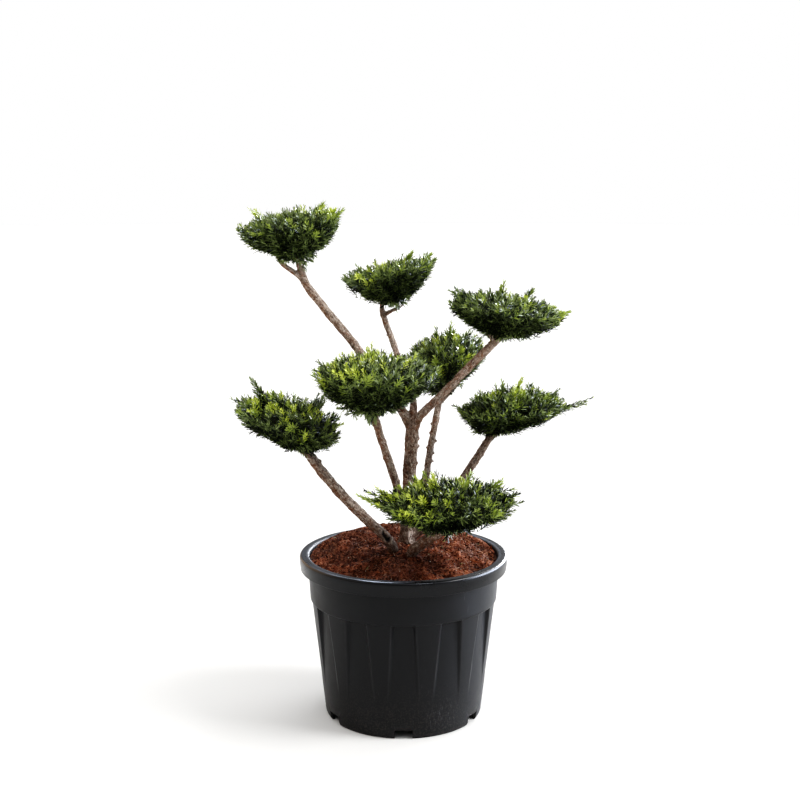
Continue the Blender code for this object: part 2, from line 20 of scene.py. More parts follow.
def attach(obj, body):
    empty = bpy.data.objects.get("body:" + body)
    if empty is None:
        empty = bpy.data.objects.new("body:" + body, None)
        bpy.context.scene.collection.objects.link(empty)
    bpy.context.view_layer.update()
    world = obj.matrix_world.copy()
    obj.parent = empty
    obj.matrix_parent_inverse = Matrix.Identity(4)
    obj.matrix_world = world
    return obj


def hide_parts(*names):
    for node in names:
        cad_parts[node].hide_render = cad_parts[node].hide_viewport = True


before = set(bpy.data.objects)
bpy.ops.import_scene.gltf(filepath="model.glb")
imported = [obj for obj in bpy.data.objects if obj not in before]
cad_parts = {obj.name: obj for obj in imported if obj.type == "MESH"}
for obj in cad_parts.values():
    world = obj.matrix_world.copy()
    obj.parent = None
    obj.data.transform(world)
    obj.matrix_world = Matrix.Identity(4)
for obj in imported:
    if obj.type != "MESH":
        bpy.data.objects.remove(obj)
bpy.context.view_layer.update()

print("CAD nodes:", len(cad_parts))

# %% [markdown]
# ## Helpers
#
# A million small faces are far too slow to add one at a time. So each piece is worked out as whole numpy
# arrays, points and faces, and handed to Blender in one go. Where a material needs to know something about
# each point, that goes into the mesh as an attribute.


# %% Meshes from arrays
def show(name, data):
    """A new object that holds the data, linked into the scene."""
    made = bpy.data.objects.new(name, data)
    bpy.context.scene.collection.objects.link(made)
    return made


def make_piece(name, points, faces, finishes, finish_of_face=None, smooth=True):
    """An object from an array of points and an array of faces that all have the same number of corners."""
    points, faces = np.asarray(points, np.float32), np.asarray(faces, np.int32)
    mesh = bpy.data.meshes.new(name)
    mesh.vertices.add(len(points))
    mesh.vertices.foreach_set("co", points.ravel())
    mesh.loops.add(faces.size)
    mesh.loops.foreach_set("vertex_index", faces.ravel())
    mesh.polygons.add(len(faces))
    mesh.polygons.foreach_set("loop_start", np.arange(0, faces.size, faces.shape[1], dtype=np.int32))
    for finish in finishes:
        mesh.materials.append(finish)
    if finish_of_face is not None:
        mesh.polygons.foreach_set("material_index", np.asarray(finish_of_face, np.int32))
    mesh.polygons.foreach_set("use_smooth", np.full(len(faces), smooth))
    mesh.update(calc_edges=True)
    print(f"{name}: {len(points)} points, {len(faces) * (faces.shape[1] - 2)} triangles")
    return show(name, mesh)


def joined(parts):
    """One array of points and one of faces, out of several such pairs."""
    starts = np.cumsum([0] + [len(points) for points, _ in parts[:-1]])
    faces = [faces + start for (_, faces), start in zip(parts, starts)]
    return np.vstack([points for points, _ in parts]), np.vstack(faces)


def mark(mesh, name, values):
    """Notes a number or a vector at each point of a mesh, for its material to read."""
    values = np.asarray(values, np.float32)
    kind, field = ("FLOAT", "value") if values.ndim == 1 else ("FLOAT_VECTOR", "vector")
    mesh.attributes.new(name, kind, "POINT").data.foreach_set(field, values.ravel())


def hand_over(piece, slot, *nodes):
    """Lets the piece ride on the tree and stand for its CAD nodes. The slot is not used."""
    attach(piece, "root")
    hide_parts(*nodes)


def unit(vectors):
    return vectors / np.maximum(np.linalg.norm(vectors, axis=-1, keepdims=True), 1e-9)


def mix(a, b, share):
    return a + (b - a) * share


# %% [markdown]
# Colours are easiest to choose as sRGB hex values, as a paint chart gives them. Blender's shaders reckon in
# linear light, so one function turns the first into the second. Another adds a node and plugs it in: what
# follows the kind of node fills its sockets in order, a capital name is one socket's own, and a name in small
# letters is a setting of the node. A node that is plugged in whole gives its first output in use.


# %% Colours and nodes
def linear(hex_colour):
    """A linear RGBA colour from an sRGB hex value such as #6A4A38."""
    channels = [int(hex_colour[i:i + 2], 16) / 255 for i in (1, 3, 5)]
    return (*(c / 12.92 if c <= 0.04045 else ((c + 0.055) / 1.055) ** 2.4 for c in channels), 1.0)


def plug(socket, value):
    """Fills a socket: with a link from a node or an output, with a hex colour, or with a plain value."""
    if isinstance(value, bpy.types.Node):
        value = next(output for output in value.outputs if output.enabled)
    if isinstance(value, bpy.types.NodeSocket):
        socket.id_data.links.new(value, socket)
    else:
        socket.default_value = linear(value) if isinstance(value, str) else value


def adder(material):
    """The function that adds a node to this material."""
    def add(kind, *plugs, **named):
        made = material.node_tree.nodes.new("ShaderNode" + kind)
        for name in filter(str.islower, named):
            setattr(made, name, named[name])
        in_use = [socket for socket in made.inputs if socket.enabled]
        own = [(made.inputs[name], value) for name, value in named.items() if not name.islower()]
        for socket, value in [*zip(in_use, plugs), *own]:
            plug(socket, value)
        return made
    return add


def new_finish(name, hex_colour, roughness, specular=0.5):
    """A material with a plain colour and constant gloss, and its Principled BSDF."""
    material = bpy.data.materials.new(name)
    material.use_nodes = True
    shader = material.node_tree.nodes["Principled BSDF"]
    plug(shader.inputs["Base Color"], hex_colour)
    plug(shader.inputs["Roughness"], roughness)
    plug(shader.inputs["Specular IOR Level"], specular)
    material.diffuse_color = linear(hex_colour)
    return material, shader


MM = 1000.0  # a pattern's scale is 1 over its size in metres, so MM / 6 is a pattern of 6 mm

# %% [markdown]
# ## The pot
#
# The pot is injection-moulded polypropylene, the usual black nursery container of some 25 litres. A heavy
# turned-down rim stiffens the mouth, a plain band runs under it, and below a small step the wall has twelve
# shallow flutes that run out to nothing before the foot. Six notches let water out at the bottom.
#
# It could be lathed with a Screw modifier, but flutes and notches aren't round. Here every level of the wall
# is one ring of points, so that a flute is a level whose radius dips, and a notch is a level whose lower
# edge jumps up. That gives clean, evenly spread faces with no Boolean.

# %% Sizes of the pot, in metres
POT_HEIGHT = 0.316
RIM_RADIUS = 0.200
RIM_DROP = 0.028
RIM_MOUTH = 0.1815
WALL = 0.003
BAND_TOP_RADIUS = 0.1835
BAND_FOOT_RADIUS = 0.1800
SHOULDER_Z = 0.231
SHOULDER_STEP = 0.003
SHOULDER_FALL = 0.004
FOOT_RADIUS = 0.1490
FOOT_ROUND = 0.0035
FOOT_ROUND_HEIGHT = 0.010
FLUTES = 12
HALF_PITCH = 180 / FLUTES  # from the middle of a flute to the middle of the panel beside it, in degrees
FLUTE_DEPTH = 0.0075
FLUTE_FOOT_Z = 0.070
FLUTE_HALF_TOP = 7.5  # half the width of a flute at the shoulder, in degrees of the pot's turn
FLUTE_HALF_FOOT = 11.0
FLUTE_SIDE = 2.0
NOTCH_HALF = 6.36
NOTCH_HEIGHT = 0.0175
DISH_RADIUS = 0.107
CHANNEL_Z = 0.018
FLUTE_TOP_Z = SHOULDER_Z - SHOULDER_FALL


# %% The levels of the wall
def flute_share(z):
    """0 at the foot of the flutes and 1 at the shoulder."""
    return min(1.0, max(0.0, (z - FLUTE_FOOT_Z) / (FLUTE_TOP_Z - FLUTE_FOOT_Z)))


def panel_radius(z):
    share = (z - FOOT_ROUND_HEIGHT) / (FLUTE_TOP_Z - FOOT_ROUND_HEIGHT)
    return mix(FOOT_RADIUS + FOOT_ROUND, BAND_FOOT_RADIUS - SHOULDER_STEP, share)


# Points over half a flute, as steps in degrees from its edge; the last four stand on the panel beside it.
EDGE_STEPS = (-2.9, -2.3, -1.9, -1.4, -0.9, -0.4, -0.1, 0.3, 0.8)
NOTCH_STEPS = (5.0, 5.6, 6.0, 6.2, 6.3, 6.36, 6.40, 6.9, 7.8)


def half_columns(half, steps_from_edge):
    """Turns from the middle of a flute to the middle of the panel beside it."""
    edge = [half + step for step in steps_from_edge]
    inner = [edge[0] * share for share in (0.0, 0.36, 0.70)]
    outer = [mix(edge[-1], HALF_PITCH, share) for share in (0.25, 0.5, 0.75, 1.0)]
    return [*inner, *edge, *outer]


def pot_ring(radius, z, fluted=False, notched=False, low_edge=False):
    """One level of the pot. Its columns follow the flutes or the notches; a low edge jumps over the notches."""
    share = flute_share(z)
    half = mix(FLUTE_HALF_FOOT, FLUTE_HALF_TOP, share)
    columns = half_columns(0.0, NOTCH_STEPS) if notched else half_columns(half, EDGE_STEPS)
    ring = []
    for k in range(FLUTES):
        for off in [-c for c in reversed(columns[1:])] + columns[:-1]:
            turn = math.radians(-90 + k * 2 * HALF_PITCH + off)
            reach, height = radius, z
            if fluted:
                wall = min(1.0, max(0.0, (half - abs(off)) / FLUTE_SIDE))
                reach -= FLUTE_DEPTH * share * wall * wall * (3 - 2 * wall)
            if low_edge and k % 2 == 0 and abs(off) < NOTCH_HALF + 0.01:
                corner = max(0.0, abs(off) - (NOTCH_HALF - 0.8)) / 0.8
                height = max(z, NOTCH_HEIGHT - 0.0022 * corner ** 2)
            ring.append((reach * math.cos(turn), reach * math.sin(turn), height))
    return ring


def arc(centre_radius, centre_z, size, start, end, count):
    """Levels (radius, z) round an arc of the pot's section, from one angle to another, in degrees."""
    turns = [math.radians(mix(start, end, i / (count - 1))) for i in range(count)]
    return [(centre_radius + size * math.cos(t), centre_z + size * math.sin(t)) for t in turns]


# %% [markdown]
# The section of the rim is what catches the light, so it is drawn with real radii: a 1 mm lower lip, an
# almost upright skirt that leans in a little, and a full round of 5 mm over the top into the mouth.

# %% Build the pot
def build_pot():
    rim_foot_z = POT_HEIGHT - RIM_DROP
    skirt_inner = FOOT_RADIUS - WALL - 0.001
    dish_inner = DISH_RADIUS - WALL
    channel_floor_z = CHANNEL_Z + WALL
    dish = [(DISH_RADIUS, 0.0005), (DISH_RADIUS, CHANNEL_Z), (skirt_inner, CHANNEL_Z)]
    foot = [(skirt_inner, 0.0012), (skirt_inner + 0.0008, 0.0), (FOOT_RADIUS - 0.0008, 0.0),
            (FOOT_RADIUS + 0.0002, 0.0010)]
    foot += [(FOOT_RADIUS + FOOT_ROUND * math.sin(math.pi / 2 * z / FOOT_ROUND_HEIGHT), z)
             for z in (0.0035, 0.0065, 0.0100)]
    rings = [pot_ring(radius, z, notched=True) for radius, z in dish]
    rings += [pot_ring(radius, z, notched=True, low_edge=True) for radius, z in foot]
    rings.append(pot_ring(panel_radius(0.0180), 0.0180, notched=True))
    rings += [pot_ring(panel_radius(z), z) for z in (0.034, 0.052)]
    rings += [pot_ring(panel_radius(z), z, fluted=True)
              for z in (0.070, 0.086, 0.104, 0.124, 0.146, 0.168, 0.190, 0.210, 0.2215, 0.2255, FLUTE_TOP_Z)]
    step_out = [(0.22, 0.12), (0.62, 0.35), (0.90, 0.68), (1.0, 1.0)]
    rings += [pot_ring(mix(panel_radius(FLUTE_TOP_Z), BAND_FOOT_RADIUS, across),
                       mix(FLUTE_TOP_Z, SHOULDER_Z, up)) for across, up in step_out]
    band = [(mix(BAND_FOOT_RADIUS, BAND_TOP_RADIUS, s), mix(SHOULDER_Z, rim_foot_z, s))
            for s in (0.04, 0.3, 0.6, 0.9, 0.975)]
    under_rim = [(BAND_TOP_RADIUS + 0.0008, rim_foot_z + 0.0008),
                 (BAND_TOP_RADIUS + 0.005, rim_foot_z + 0.0006)]
    lip = arc(RIM_RADIUS - 0.0030, rim_foot_z + 0.0012, 0.0012, -90, 0, 5)
    skirt = [(RIM_RADIUS - 0.0012, rim_foot_z + 0.0060), (RIM_RADIUS - 0.0002, rim_foot_z + 0.0130),
             (RIM_RADIUS, rim_foot_z + 0.0190)]
    over = arc(RIM_RADIUS - 0.0055, POT_HEIGHT - 0.0055, 0.0055, 8, 90, 8)
    into = arc(RIM_MOUTH + 0.0045, POT_HEIGHT - 0.0045, 0.0045, 90, 180, 7)
    inside = [(RIM_MOUTH, POT_HEIGHT - 0.012), (RIM_MOUTH - 0.0012, rim_foot_z),
              (BAND_FOOT_RADIUS - WALL, SHOULDER_Z + 0.002)]
    rings += [pot_ring(radius, z) for radius, z in (*band, *under_rim, *lip, *skirt, *over, *into, *inside)]
    rings += [pot_ring(panel_radius(FLUTE_TOP_Z) - WALL, FLUTE_TOP_Z + 0.001, fluted=True),
              pot_ring(panel_radius(FLUTE_FOOT_Z) - WALL, FLUTE_FOOT_Z + 0.001, fluted=True),
              pot_ring(FOOT_RADIUS - WALL + 0.002, channel_floor_z, notched=True),
              pot_ring(dish_inner, channel_floor_z, notched=True), pot_ring(dish_inner, WALL, notched=True)]
    return rings


def stack_rings(rings):
    """Points and four-cornered faces over rings of equal, even count, closed over the first and the last."""
    count = len(rings[0])
    points = np.array(rings, float).reshape(-1, 3)
    level = np.arange(len(rings) - 1)[:, None] * count
    here = np.arange(count)[None, :]
    after = (here + 1) % count
    faces = np.stack([level + here, level + after, level + after + count, level + here + count], -1)
    faces = faces.reshape(-1, 4)
    pairs = np.arange(0, count, 2)
    for ring, turned in ((0, True), (len(rings) - 1, False)):
        points = np.vstack([points, np.mean(rings[ring], axis=0)])
        hub = np.full(len(pairs), len(points) - 1)
        fan = [ring * count + (pairs + step) % count for step in (0, 1, 2)]
        faces = np.vstack([faces, np.stack([*(reversed(fan) if turned else fan), hub], -1)])
    return points, faces


pot_points, pot_faces = stack_rings(build_pot())

# %% [markdown]
# ### Black polypropylene
#
# The plastic is dyed through with carbon black. The mould leaves it satin, not glossy, with a faint fine
# grain. It has been handled and watered: pale dust has dried in specks low down on the wall, and a few rubs
# some 3 mm wide run up and down where pots were stacked in one another. The upright edges of the flutes are
# worn smooth and lightened a little by a painted highlight, hands have polished the rim, the mouth is chafed
# dull, and a knock left a scuff near the foot.

# %% Finish of the pot
def pot_finish():
    material, shader = new_finish("moulded_black_polypropylene", "#0A0C10", 0.44, 0.26)
    add = adder(material)
    place = add("TexCoord").outputs["Object"]
    height = add("SeparateXYZ", place).outputs["Z"]
    low_down = add("MapRange", height, 0.0, 0.16, 1.0, 0.0)
    grain = add("TexNoise", place, Scale=MM / 0.9, Detail=3.0)
    clouds = add("TexNoise", place, Scale=MM / 55, Detail=5.0, Roughness=0.62)
    specks = add("TexNoise", place, Scale=MM / 3.2, Detail=4.0, Roughness=0.7)
    upright = add("VectorMath", place, (1.0, 1.0, 0.045), operation="MULTIPLY")
    rubs = add("TexNoise", upright, Scale=MM / 2.6, Detail=3.0, Roughness=0.55)
    rubbed = add("MapRange", rubs, 0.66, 0.76, 0.0, 0.6)
    where_rubbed = add("MapRange", clouds, 0.5, 0.66, 0.0, 0.3)
    wear_and_edge_highlight = add("Math", rubbed, where_rubbed, operation="MULTIPLY")
    dust_patch = add("MapRange", specks, 0.46, 0.74, 0.0, 1.0)
    dust_low = add("Math", low_down, 2.0, operation="POWER")
    dust_more = add("Math", dust_low, dust_patch, operation="MULTIPLY")
    dust_film = add("Math", clouds, 0.02, operation="MULTIPLY")
    dust_share = add("Math", dust_more, 0.3, dust_film, operation="MULTIPLY_ADD")
    dusty = add("Mix", dust_share, "#0A0C10", "#6E655C", data_type="RGBA")
    knock = add("VectorMath", place, (0.072, -0.134, 0.042), operation="DISTANCE")
    near_knock = add("MapRange", knock, 0.008, 0.042, 0.55, 0.0)
    scratches = add("TexNoise", upright, Scale=MM / 1.6, Detail=5.0, Roughness=0.7)
    scratched = add("MapRange", scratches, 0.56, 0.72, 0.0, 1.0)
    wear_and_edge_highlight = add("Math", near_knock, scratched, wear_and_edge_highlight, operation="MULTIPLY_ADD")
    # The edges of the flutes are also lightened a little in colour: a painted highlight along them.
    edge = add("Attribute", attribute_name="edge").outputs["Fac"]
    wear_and_edge_highlight = add("Math", edge, 0.05, wear_and_edge_highlight, operation="MULTIPLY_ADD")
    worn_and_edge_highlight = add("Mix", wear_and_edge_highlight, dusty, "#77757A", data_type="RGBA")
    plug(shader.inputs["Base Color"], worn_and_edge_highlight)
    satin = add("MapRange", clouds, 0.3, 0.7, 0.4, 0.5)
    handled = add("MapRange", height, 0.28, 0.3, 0.0, 0.16)
    sideways = add("VectorMath", place, (1.0, 1.0, 0.0), operation="MULTIPLY")
    reach = add("VectorMath", sideways, operation="LENGTH")
    inside = add("MapRange", reach, 0.1835, 0.1885, 0.3, 0.0)
    near_top = add("MapRange", height, 0.298, 0.304, 0.0, 1.0)
    smoother = add("Math", satin, handled, operation="SUBTRACT")
    chafed = add("Math", inside, near_top, smoother, operation="MULTIPLY_ADD")
    polished = add("Math", edge, -0.17, chafed, operation="MULTIPLY_ADD")
    dulled = add("Math", dust_share, 0.5, polished, operation="MULTIPLY_ADD")
    plug(shader.inputs["Roughness"], dulled)
    texture = add("Bump", Height=grain, Strength=0.35, Distance=0.00012)
    waves = add("Bump", Height=clouds, Strength=0.5, Distance=0.0008, Normal=texture)
    plug(shader.inputs["Normal"], waves)
    return material


def edges_of_flutes(points):
    """1 along the upright edges of the flutes, where pots rub on one another and a faint highlight is painted,
    and 0 away from them.
    """
    x, y, z = points.T
    share = np.clip((z - FLUTE_FOOT_Z) / (FLUTE_TOP_Z - FLUTE_FOOT_Z), 0, 1) * (z < FLUTE_TOP_Z + 0.0005)
    off = np.abs((np.degrees(np.arctan2(y, x)) + 90 + HALF_PITCH) % (2 * HALF_PITCH) - HALF_PITCH)
    half = mix(FLUTE_HALF_FOOT, FLUTE_HALF_TOP, share)
    return np.exp(-((off - half + 0.2) / 0.45) ** 2) * share ** 0.4


pot = make_piece("pot_shell", pot_points, pot_faces, [pot_finish()])
mark(pot.data, "edge", edges_of_flutes(pot_points))
hand_over(pot, "pot_plastic", "pot")

# %% [markdown]
# ## The compost
#
# Nursery compost for conifers is mostly composted bark and coir: reddish brown, crumbly, with strands of
# fibre, flat chips of bark and a few white grains of perlite. It is heaped a little round the stems and
# against the back of the rim.
#
# A bump map alone would look like a printed lid. So the surface is a fine disc that is really pushed up and
# down by noise of four sizes, and loose crumbs, chips and fibres are strewn over it.

# %% The surface of the compost
GROUND_Z = 0.330
GROUND_RADIUS = 0.095
SOIL_EDGE_Z = 0.3065
SOIL_HEAP = 0.0185
SOIL_CLEAR = 0.0010
SOIL_RADIUS = RIM_MOUTH - WALL
STEM_HEAP = 0.0100  # how far it is heaped round the stems, where, and how wide
STEM_HEAP_AT = (-0.002, -0.036)
STEM_HEAP_SIZE = 0.032


def soil_level(radius, turn):
    """The height of the compost as it was filled in, before its crumbs."""
    edge = SOIL_EDGE_Z + SOIL_HEAP * max(0.0, math.sin(turn)) ** 1.2
    share = min(1.0, max(0.0, (radius - GROUND_RADIUS) / (SOIL_RADIUS - GROUND_RADIUS)))
    return mix(GROUND_Z, edge, share * share * (3 - 2 * share))


def soil_relief(x, y):
    """Clods of 27 mm, lumps of 11 mm, crumbs of 4.5 mm and grains of 2.2 mm."""
    clods = noise.noise((x / 0.027, y / 0.027, 1.7))
    lumps = 0.5 - abs(noise.noise((x / 0.011, y / 0.011, 5.1))) * 1.6
    crumbs = abs(noise.noise((x / 0.0045, y / 0.0045, 9.4)))
    grains = abs(noise.noise((x / 0.0022, y / 0.0022, 3.3)))
    return 0.0072 * clods - 0.0042 * max(-0.3, lumps) + 0.0034 * crumbs + 0.0012 * grains


def soil_top(x, y):
    radius = math.hypot(x, y)
    settle = min(1.0, (SOIL_RADIUS + 0.002 - radius) / 0.012)
    from_stems = math.hypot(x - STEM_HEAP_AT[0], y - STEM_HEAP_AT[1])
    heaped = STEM_HEAP * math.exp(-from_stems ** 2 / STEM_HEAP_SIZE ** 2)
    return soil_level(radius, math.atan2(y, x)) + heaped + max(0.25, settle) * soil_relief(x, y)


# %% Build the compost
def build_compost():
    """Rings from the middle of the surface to the rim, then down the inside of the pot."""
    sides, levels, twist = 340, 116, 0.013  # every level is turned on by the twist, so that no spokes show
    rings = []
    for i in range(levels):
        radius = 0.002 + (SOIL_RADIUS + 0.0012 - 0.002) * (i / (levels - 1)) ** 0.8
        turns = [k * 2 * math.pi / sides + twist * i for k in range(sides)]
        flat = [(radius * math.cos(t), radius * math.sin(t)) for t in turns]
        rings.append([(x, y, soil_top(x, y)) for x, y in flat])
    inner = panel_radius(FLUTE_TOP_Z) - WALL - FLUTE_DEPTH - SOIL_CLEAR
    for radius, z in ((BAND_FOOT_RADIUS - WALL - SOIL_CLEAR, SHOULDER_Z + 0.008), (inner, FLUTE_TOP_Z + 0.0015),
                      (FOOT_RADIUS - WALL - SOIL_CLEAR, CHANNEL_Z + WALL + 0.0003),
                      (DISH_RADIUS - WALL - 0.0025, CHANNEL_Z + WALL + 0.0003),
                      (DISH_RADIUS - WALL - 0.0025, WALL + 0.0003)):
        rings.append([(radius * math.cos(t), radius * math.sin(t), z) for t in turns])
    return stack_rings(rings)


# %% [markdown]
# ### Bark compost
#
# Moist bark is dark red-brown, dry crumbs on top are paler and more orange, and coir is straw-coloured. The
# colour changes from crumb to crumb, about every 3 mm, and in damp and dry patches some 40 mm across. The bed
# is also painted lighter where it stands high and darker where it lies low: painted light on its tops and
# painted shade in its hollows.

# %% Finish of the compost
def compost_finish(name, damp, moist, dry, coir, hollows=False):
    material, shader = new_finish(name, moist, 0.95, 0.06)
    add = adder(material)
    place = add("TexCoord").outputs["Object"]
    patches = add("TexNoise", place, Scale=MM / 40, Detail=3.0)
    crumbs = add("TexVoronoi", place, Scale=MM / 3.2)
    tone = add("SeparateColor", crumbs.outputs["Color"])
    grit = add("TexNoise", place, Scale=MM / 1.3, Detail=4.0, Roughness=0.7)
    fibre_place = add("VectorMath", place, (1.0, 0.16, 0.5), operation="MULTIPLY")
    fibres = add("TexNoise", fibre_place, Scale=MM / 1.6, Detail=2.0)
    wet = add("MapRange", patches, 0.36, 0.64, 0.0, 1.0)
    colour = add("Mix", wet, damp, moist, data_type="RGBA")
    for pattern, low, high, share, shown in ((tone, 0.45, 0.95, 0.85, dry), (fibres, 0.66, 0.74, 0.70, coir)):
        covers = add("MapRange", pattern, low, high, 0.0, share)
        colour = add("Mix", covers, colour, shown, data_type="RGBA")
    shade = add("MapRange", grit, 0.3, 0.7, 0.35, 1.25)
    if hollows:
        # The bed is painted lighter where it stands high and darker where it lies low: painted light and
        # painted shade that follow its relief.
        stands = add("Attribute", attribute_name="relief").outputs["Fac"]
        relief_light_and_shade = add("MapRange", stands, -0.0045, 0.0045, 0.35, 1.55)
        shade = add("Math", shade, relief_light_and_shade, operation="MULTIPLY")
    gritty = add("VectorMath", colour, shade, operation="SCALE")
    plug(shader.inputs["Base Color"], gritty)
    bump = add("Bump", Height=grit, Strength=0.8, Distance=0.0009)
    plug(shader.inputs["Normal"], bump)
    return material


compost_bark = compost_finish("composted_bark_and_coir", "#432212", "#7B4630", "#A87054", "#C4A07E", True)
compost = make_piece("compost_bed", *build_compost(), [compost_bark])
mark(compost.data, "relief", [soil_relief(point.co.x, point.co.y) for point in compost.data.vertices])
hand_over(compost, "compost", "compost")

# %% [markdown]
# ### Loose crumbs, chips, fibres and perlite
#
# Each loose bit is one small closed shape: a crumb is a squashed eight-sided lump, a chip or a fallen needle
# is a long flat one, and a fibre is a bent strand. They are strewn at random and sunk in by a third, as if
# they had fallen.

# %% Strew the loose bits
GOLDEN = math.pi * (3 - math.sqrt(5))
LUMP = np.array([(1, 0, 0), (-1, 0, 0), (0, 1, 0), (0, -1, 0), (0, 0, 1), (0, 0, -1)], float)
LUMP_FACES = np.array([(0, 2, 4), (2, 1, 4), (1, 3, 4), (3, 0, 4), (2, 0, 5), (1, 2, 5), (3, 1, 5), (0, 3, 5)])


def turns_of(rng, count, flat):
    """Random rotations; with flat at 1 they only turn about Z."""
    axis = unit(np.stack([rng.normal(size=count) * (1 - flat), rng.normal(size=count) * (1 - flat),
                          np.ones(count) * (0.4 + flat)], -1))
    angle = rng.uniform(0, 2 * math.pi, count)
    x, y, z = axis.T
    c, s = np.cos(angle), np.sin(angle)
    rows = [c + x * x * (1 - c), x * y * (1 - c) - z * s, x * z * (1 - c) + y * s,
            y * x * (1 - c) + z * s, c + y * y * (1 - c), y * z * (1 - c) - x * s,
            z * x * (1 - c) - y * s, z * y * (1 - c) + x * s, c + z * z * (1 - c)]
    return np.stack(rows, -1).reshape(-1, 3, 3)


def strew(rng, count, sizes, flat=0.0):
    """Lumps with the given low and high (length, width, thickness), lying on the compost."""
    radius = SOIL_RADIUS * np.sqrt(rng.uniform(0.0, 0.985, count))
    turn = rng.uniform(0, 2 * math.pi, count)
    x, y = radius * np.cos(turn), radius * np.sin(turn)
    half = rng.uniform(*map(np.array, sizes), (count, 3)) / 2
    z = np.array([soil_top(a, b) for a, b in zip(x, y)]) + 0.3 * half.min(1)
    shapes = LUMP[None] * rng.uniform(0.7, 1.25, (count, 6, 1)) + rng.normal(0, 0.12, (count, 6, 3))
    shapes = np.einsum("nij,nkj->nki", turns_of(rng, count, flat), shapes * half[:, None, :])
    points = shapes + np.stack([x, y, z], -1)[:, None, :]
    faces = LUMP_FACES[None] + 6 * np.arange(count)[:, None, None]
    return points.reshape(-1, 3), faces.reshape(-1, 3)


def lay(name, bits, finishes, rng=None, shares=None, slot="compost"):
    """A piece of loose bits. With shares, each bit gets one of the finishes by chance."""
    which = None
    if shares:
        which = np.repeat(rng.choice(len(shares), len(bits[1]) // len(LUMP_FACES), p=shares), len(LUMP_FACES))
    hand_over(make_piece(name, *bits, finishes, which, smooth=False), slot, "compost")


rng = np.random.default_rng(7)
crumbs = joined([strew(rng, 3300, ((0.0018, 0.0014, 0.0010), (0.0062, 0.0046, 0.0036))),
                 strew(rng, 900, ((0.0050, 0.0014, 0.0007), (0.0150, 0.0036, 0.0018)), flat=0.55)])
lay("compost_crumbs", crumbs, [
    compost_finish("damp_bark_crumbs", "#2B140C", "#4C271A", "#72442F", "#8E6C54"),
    compost_finish("moist_bark_crumbs", "#592E1D", "#834A33", "#A4684C", "#BA9474"),
    compost_finish("dry_bark_crumbs", "#94604A", "#B68364", "#CBA084", "#DCC2A2")], rng, (0.42, 0.42, 0.16))

grains = strew(rng, 70, ((0.0016, 0.0014, 0.0012), (0.0034, 0.0028, 0.0024)))
lay("perlite_grains", grains, [new_finish("expanded_perlite", "#D8D0C2", 0.9, 0.2)[0]])

chip_rng = np.random.default_rng(23)
chips = strew(chip_rng, 60, ((0.0070, 0.0030, 0.0012), (0.0170, 0.0062, 0.0030)), flat=0.4)
lay("bark_chips", chips, [
    compost_finish("fresh_bark_chips", "#5A2A16", "#A05A36", "#C47C50", "#D8A884"),
    compost_finish("pale_wood_chips", "#94604A", "#C49A84", "#E0C0AC", "#EAD4C0")], chip_rng, (0.62, 0.38))

fallen = strew(rng, 60, ((0.0110, 0.0018, 0.0005), (0.0160, 0.0026, 0.0009)), flat=0.8)
lay("fallen_needles", fallen, [
    new_finish("fallen_needle_green", "#76864A", 0.5, 0.4)[0],
    new_finish("fallen_needle_brown", "#A0643A", 0.7, 0.3)[0]], rng, (0.35, 0.65), slot="needles")

# %% [markdown]
# ## Tubes
#
# Limbs, twigs and fibres are all tubes round a line. One function skins thousands of them at once: it takes
# lines with the same number of points, sets a ring square to each point, and joins ring to ring.

# %% Skin many tubes at once
def tubes(lines, radii, sides):
    """Points and four-cornered faces of tubes, from lines (tube, point, xyz) and radii (tube, point)."""
    lines = np.asarray(lines, float)
    radii = np.broadcast_to(np.asarray(radii, float), lines.shape[:2])
    count, length = lines.shape[:2]
    ahead = np.empty_like(lines)
    ahead[:, 1:-1] = lines[:, 2:] - lines[:, :-2]
    ahead[:, 0] = lines[:, 1] - lines[:, 0]
    ahead[:, -1] = lines[:, -1] - lines[:, -2]
    ahead = unit(ahead)
    whole = unit(lines[:, -1] - lines[:, 0])[:, None, :]
    pick = np.where(np.abs(whole[..., 2:]) < 0.8, [[[0.0, 0.0, 1.0]]], [[[1.0, 0.0, 0.0]]])
    side = unit(np.cross(ahead, np.broadcast_to(pick, ahead.shape)))
    across = np.cross(ahead, side)
    turn = np.arange(sides) * 2 * math.pi / sides
    ring = side[:, :, None, :] * np.cos(turn)[:, None] + across[:, :, None, :] * np.sin(turn)[:, None]
    points = lines[:, :, None, :] + radii[:, :, None, None] * ring
    tube = np.arange(count)[:, None, None] * length * sides
    level = np.arange(length - 1)[None, :, None] * sides
    here = np.arange(sides)[None, None, :]
    after = (here + 1) % sides
    base = tube + level
    faces = np.stack([base + after, base + here, base + here + sides, base + after + sides], -1)
    return points.reshape(-1, 3), faces.reshape(-1, 4)


def fibre_lines(count):
    """Strands of coir that lie on the compost with one end a little raised."""
    radius = SOIL_RADIUS * np.sqrt(rng.uniform(0.0, 0.95, count))
    turn, way = rng.uniform(0, 2 * math.pi, (2, count))
    length = rng.uniform(0.008, 0.026, count)
    bend = rng.uniform(-0.9, 0.9, count)
    lift = rng.uniform(0.0, 0.004, count)
    lines = []
    for i in range(count):
        x, y, heading, line = radius[i] * math.cos(turn[i]), radius[i] * math.sin(turn[i]), way[i], []
        for k in range(5):
            if math.hypot(x, y) < SOIL_RADIUS - 0.001:
                low = soil_top(x, y) + 0.0006
            line.append((x, y, low + lift[i] * (k / 4) ** 2))
            x += length[i] / 4 * math.cos(heading) * (math.hypot(x, y) < SOIL_RADIUS - 0.003)
            y += length[i] / 4 * math.sin(heading) * (math.hypot(x, y) < SOIL_RADIUS - 0.003)
            heading += bend[i] / 4
        lines.append(line)
    return np.array(lines)


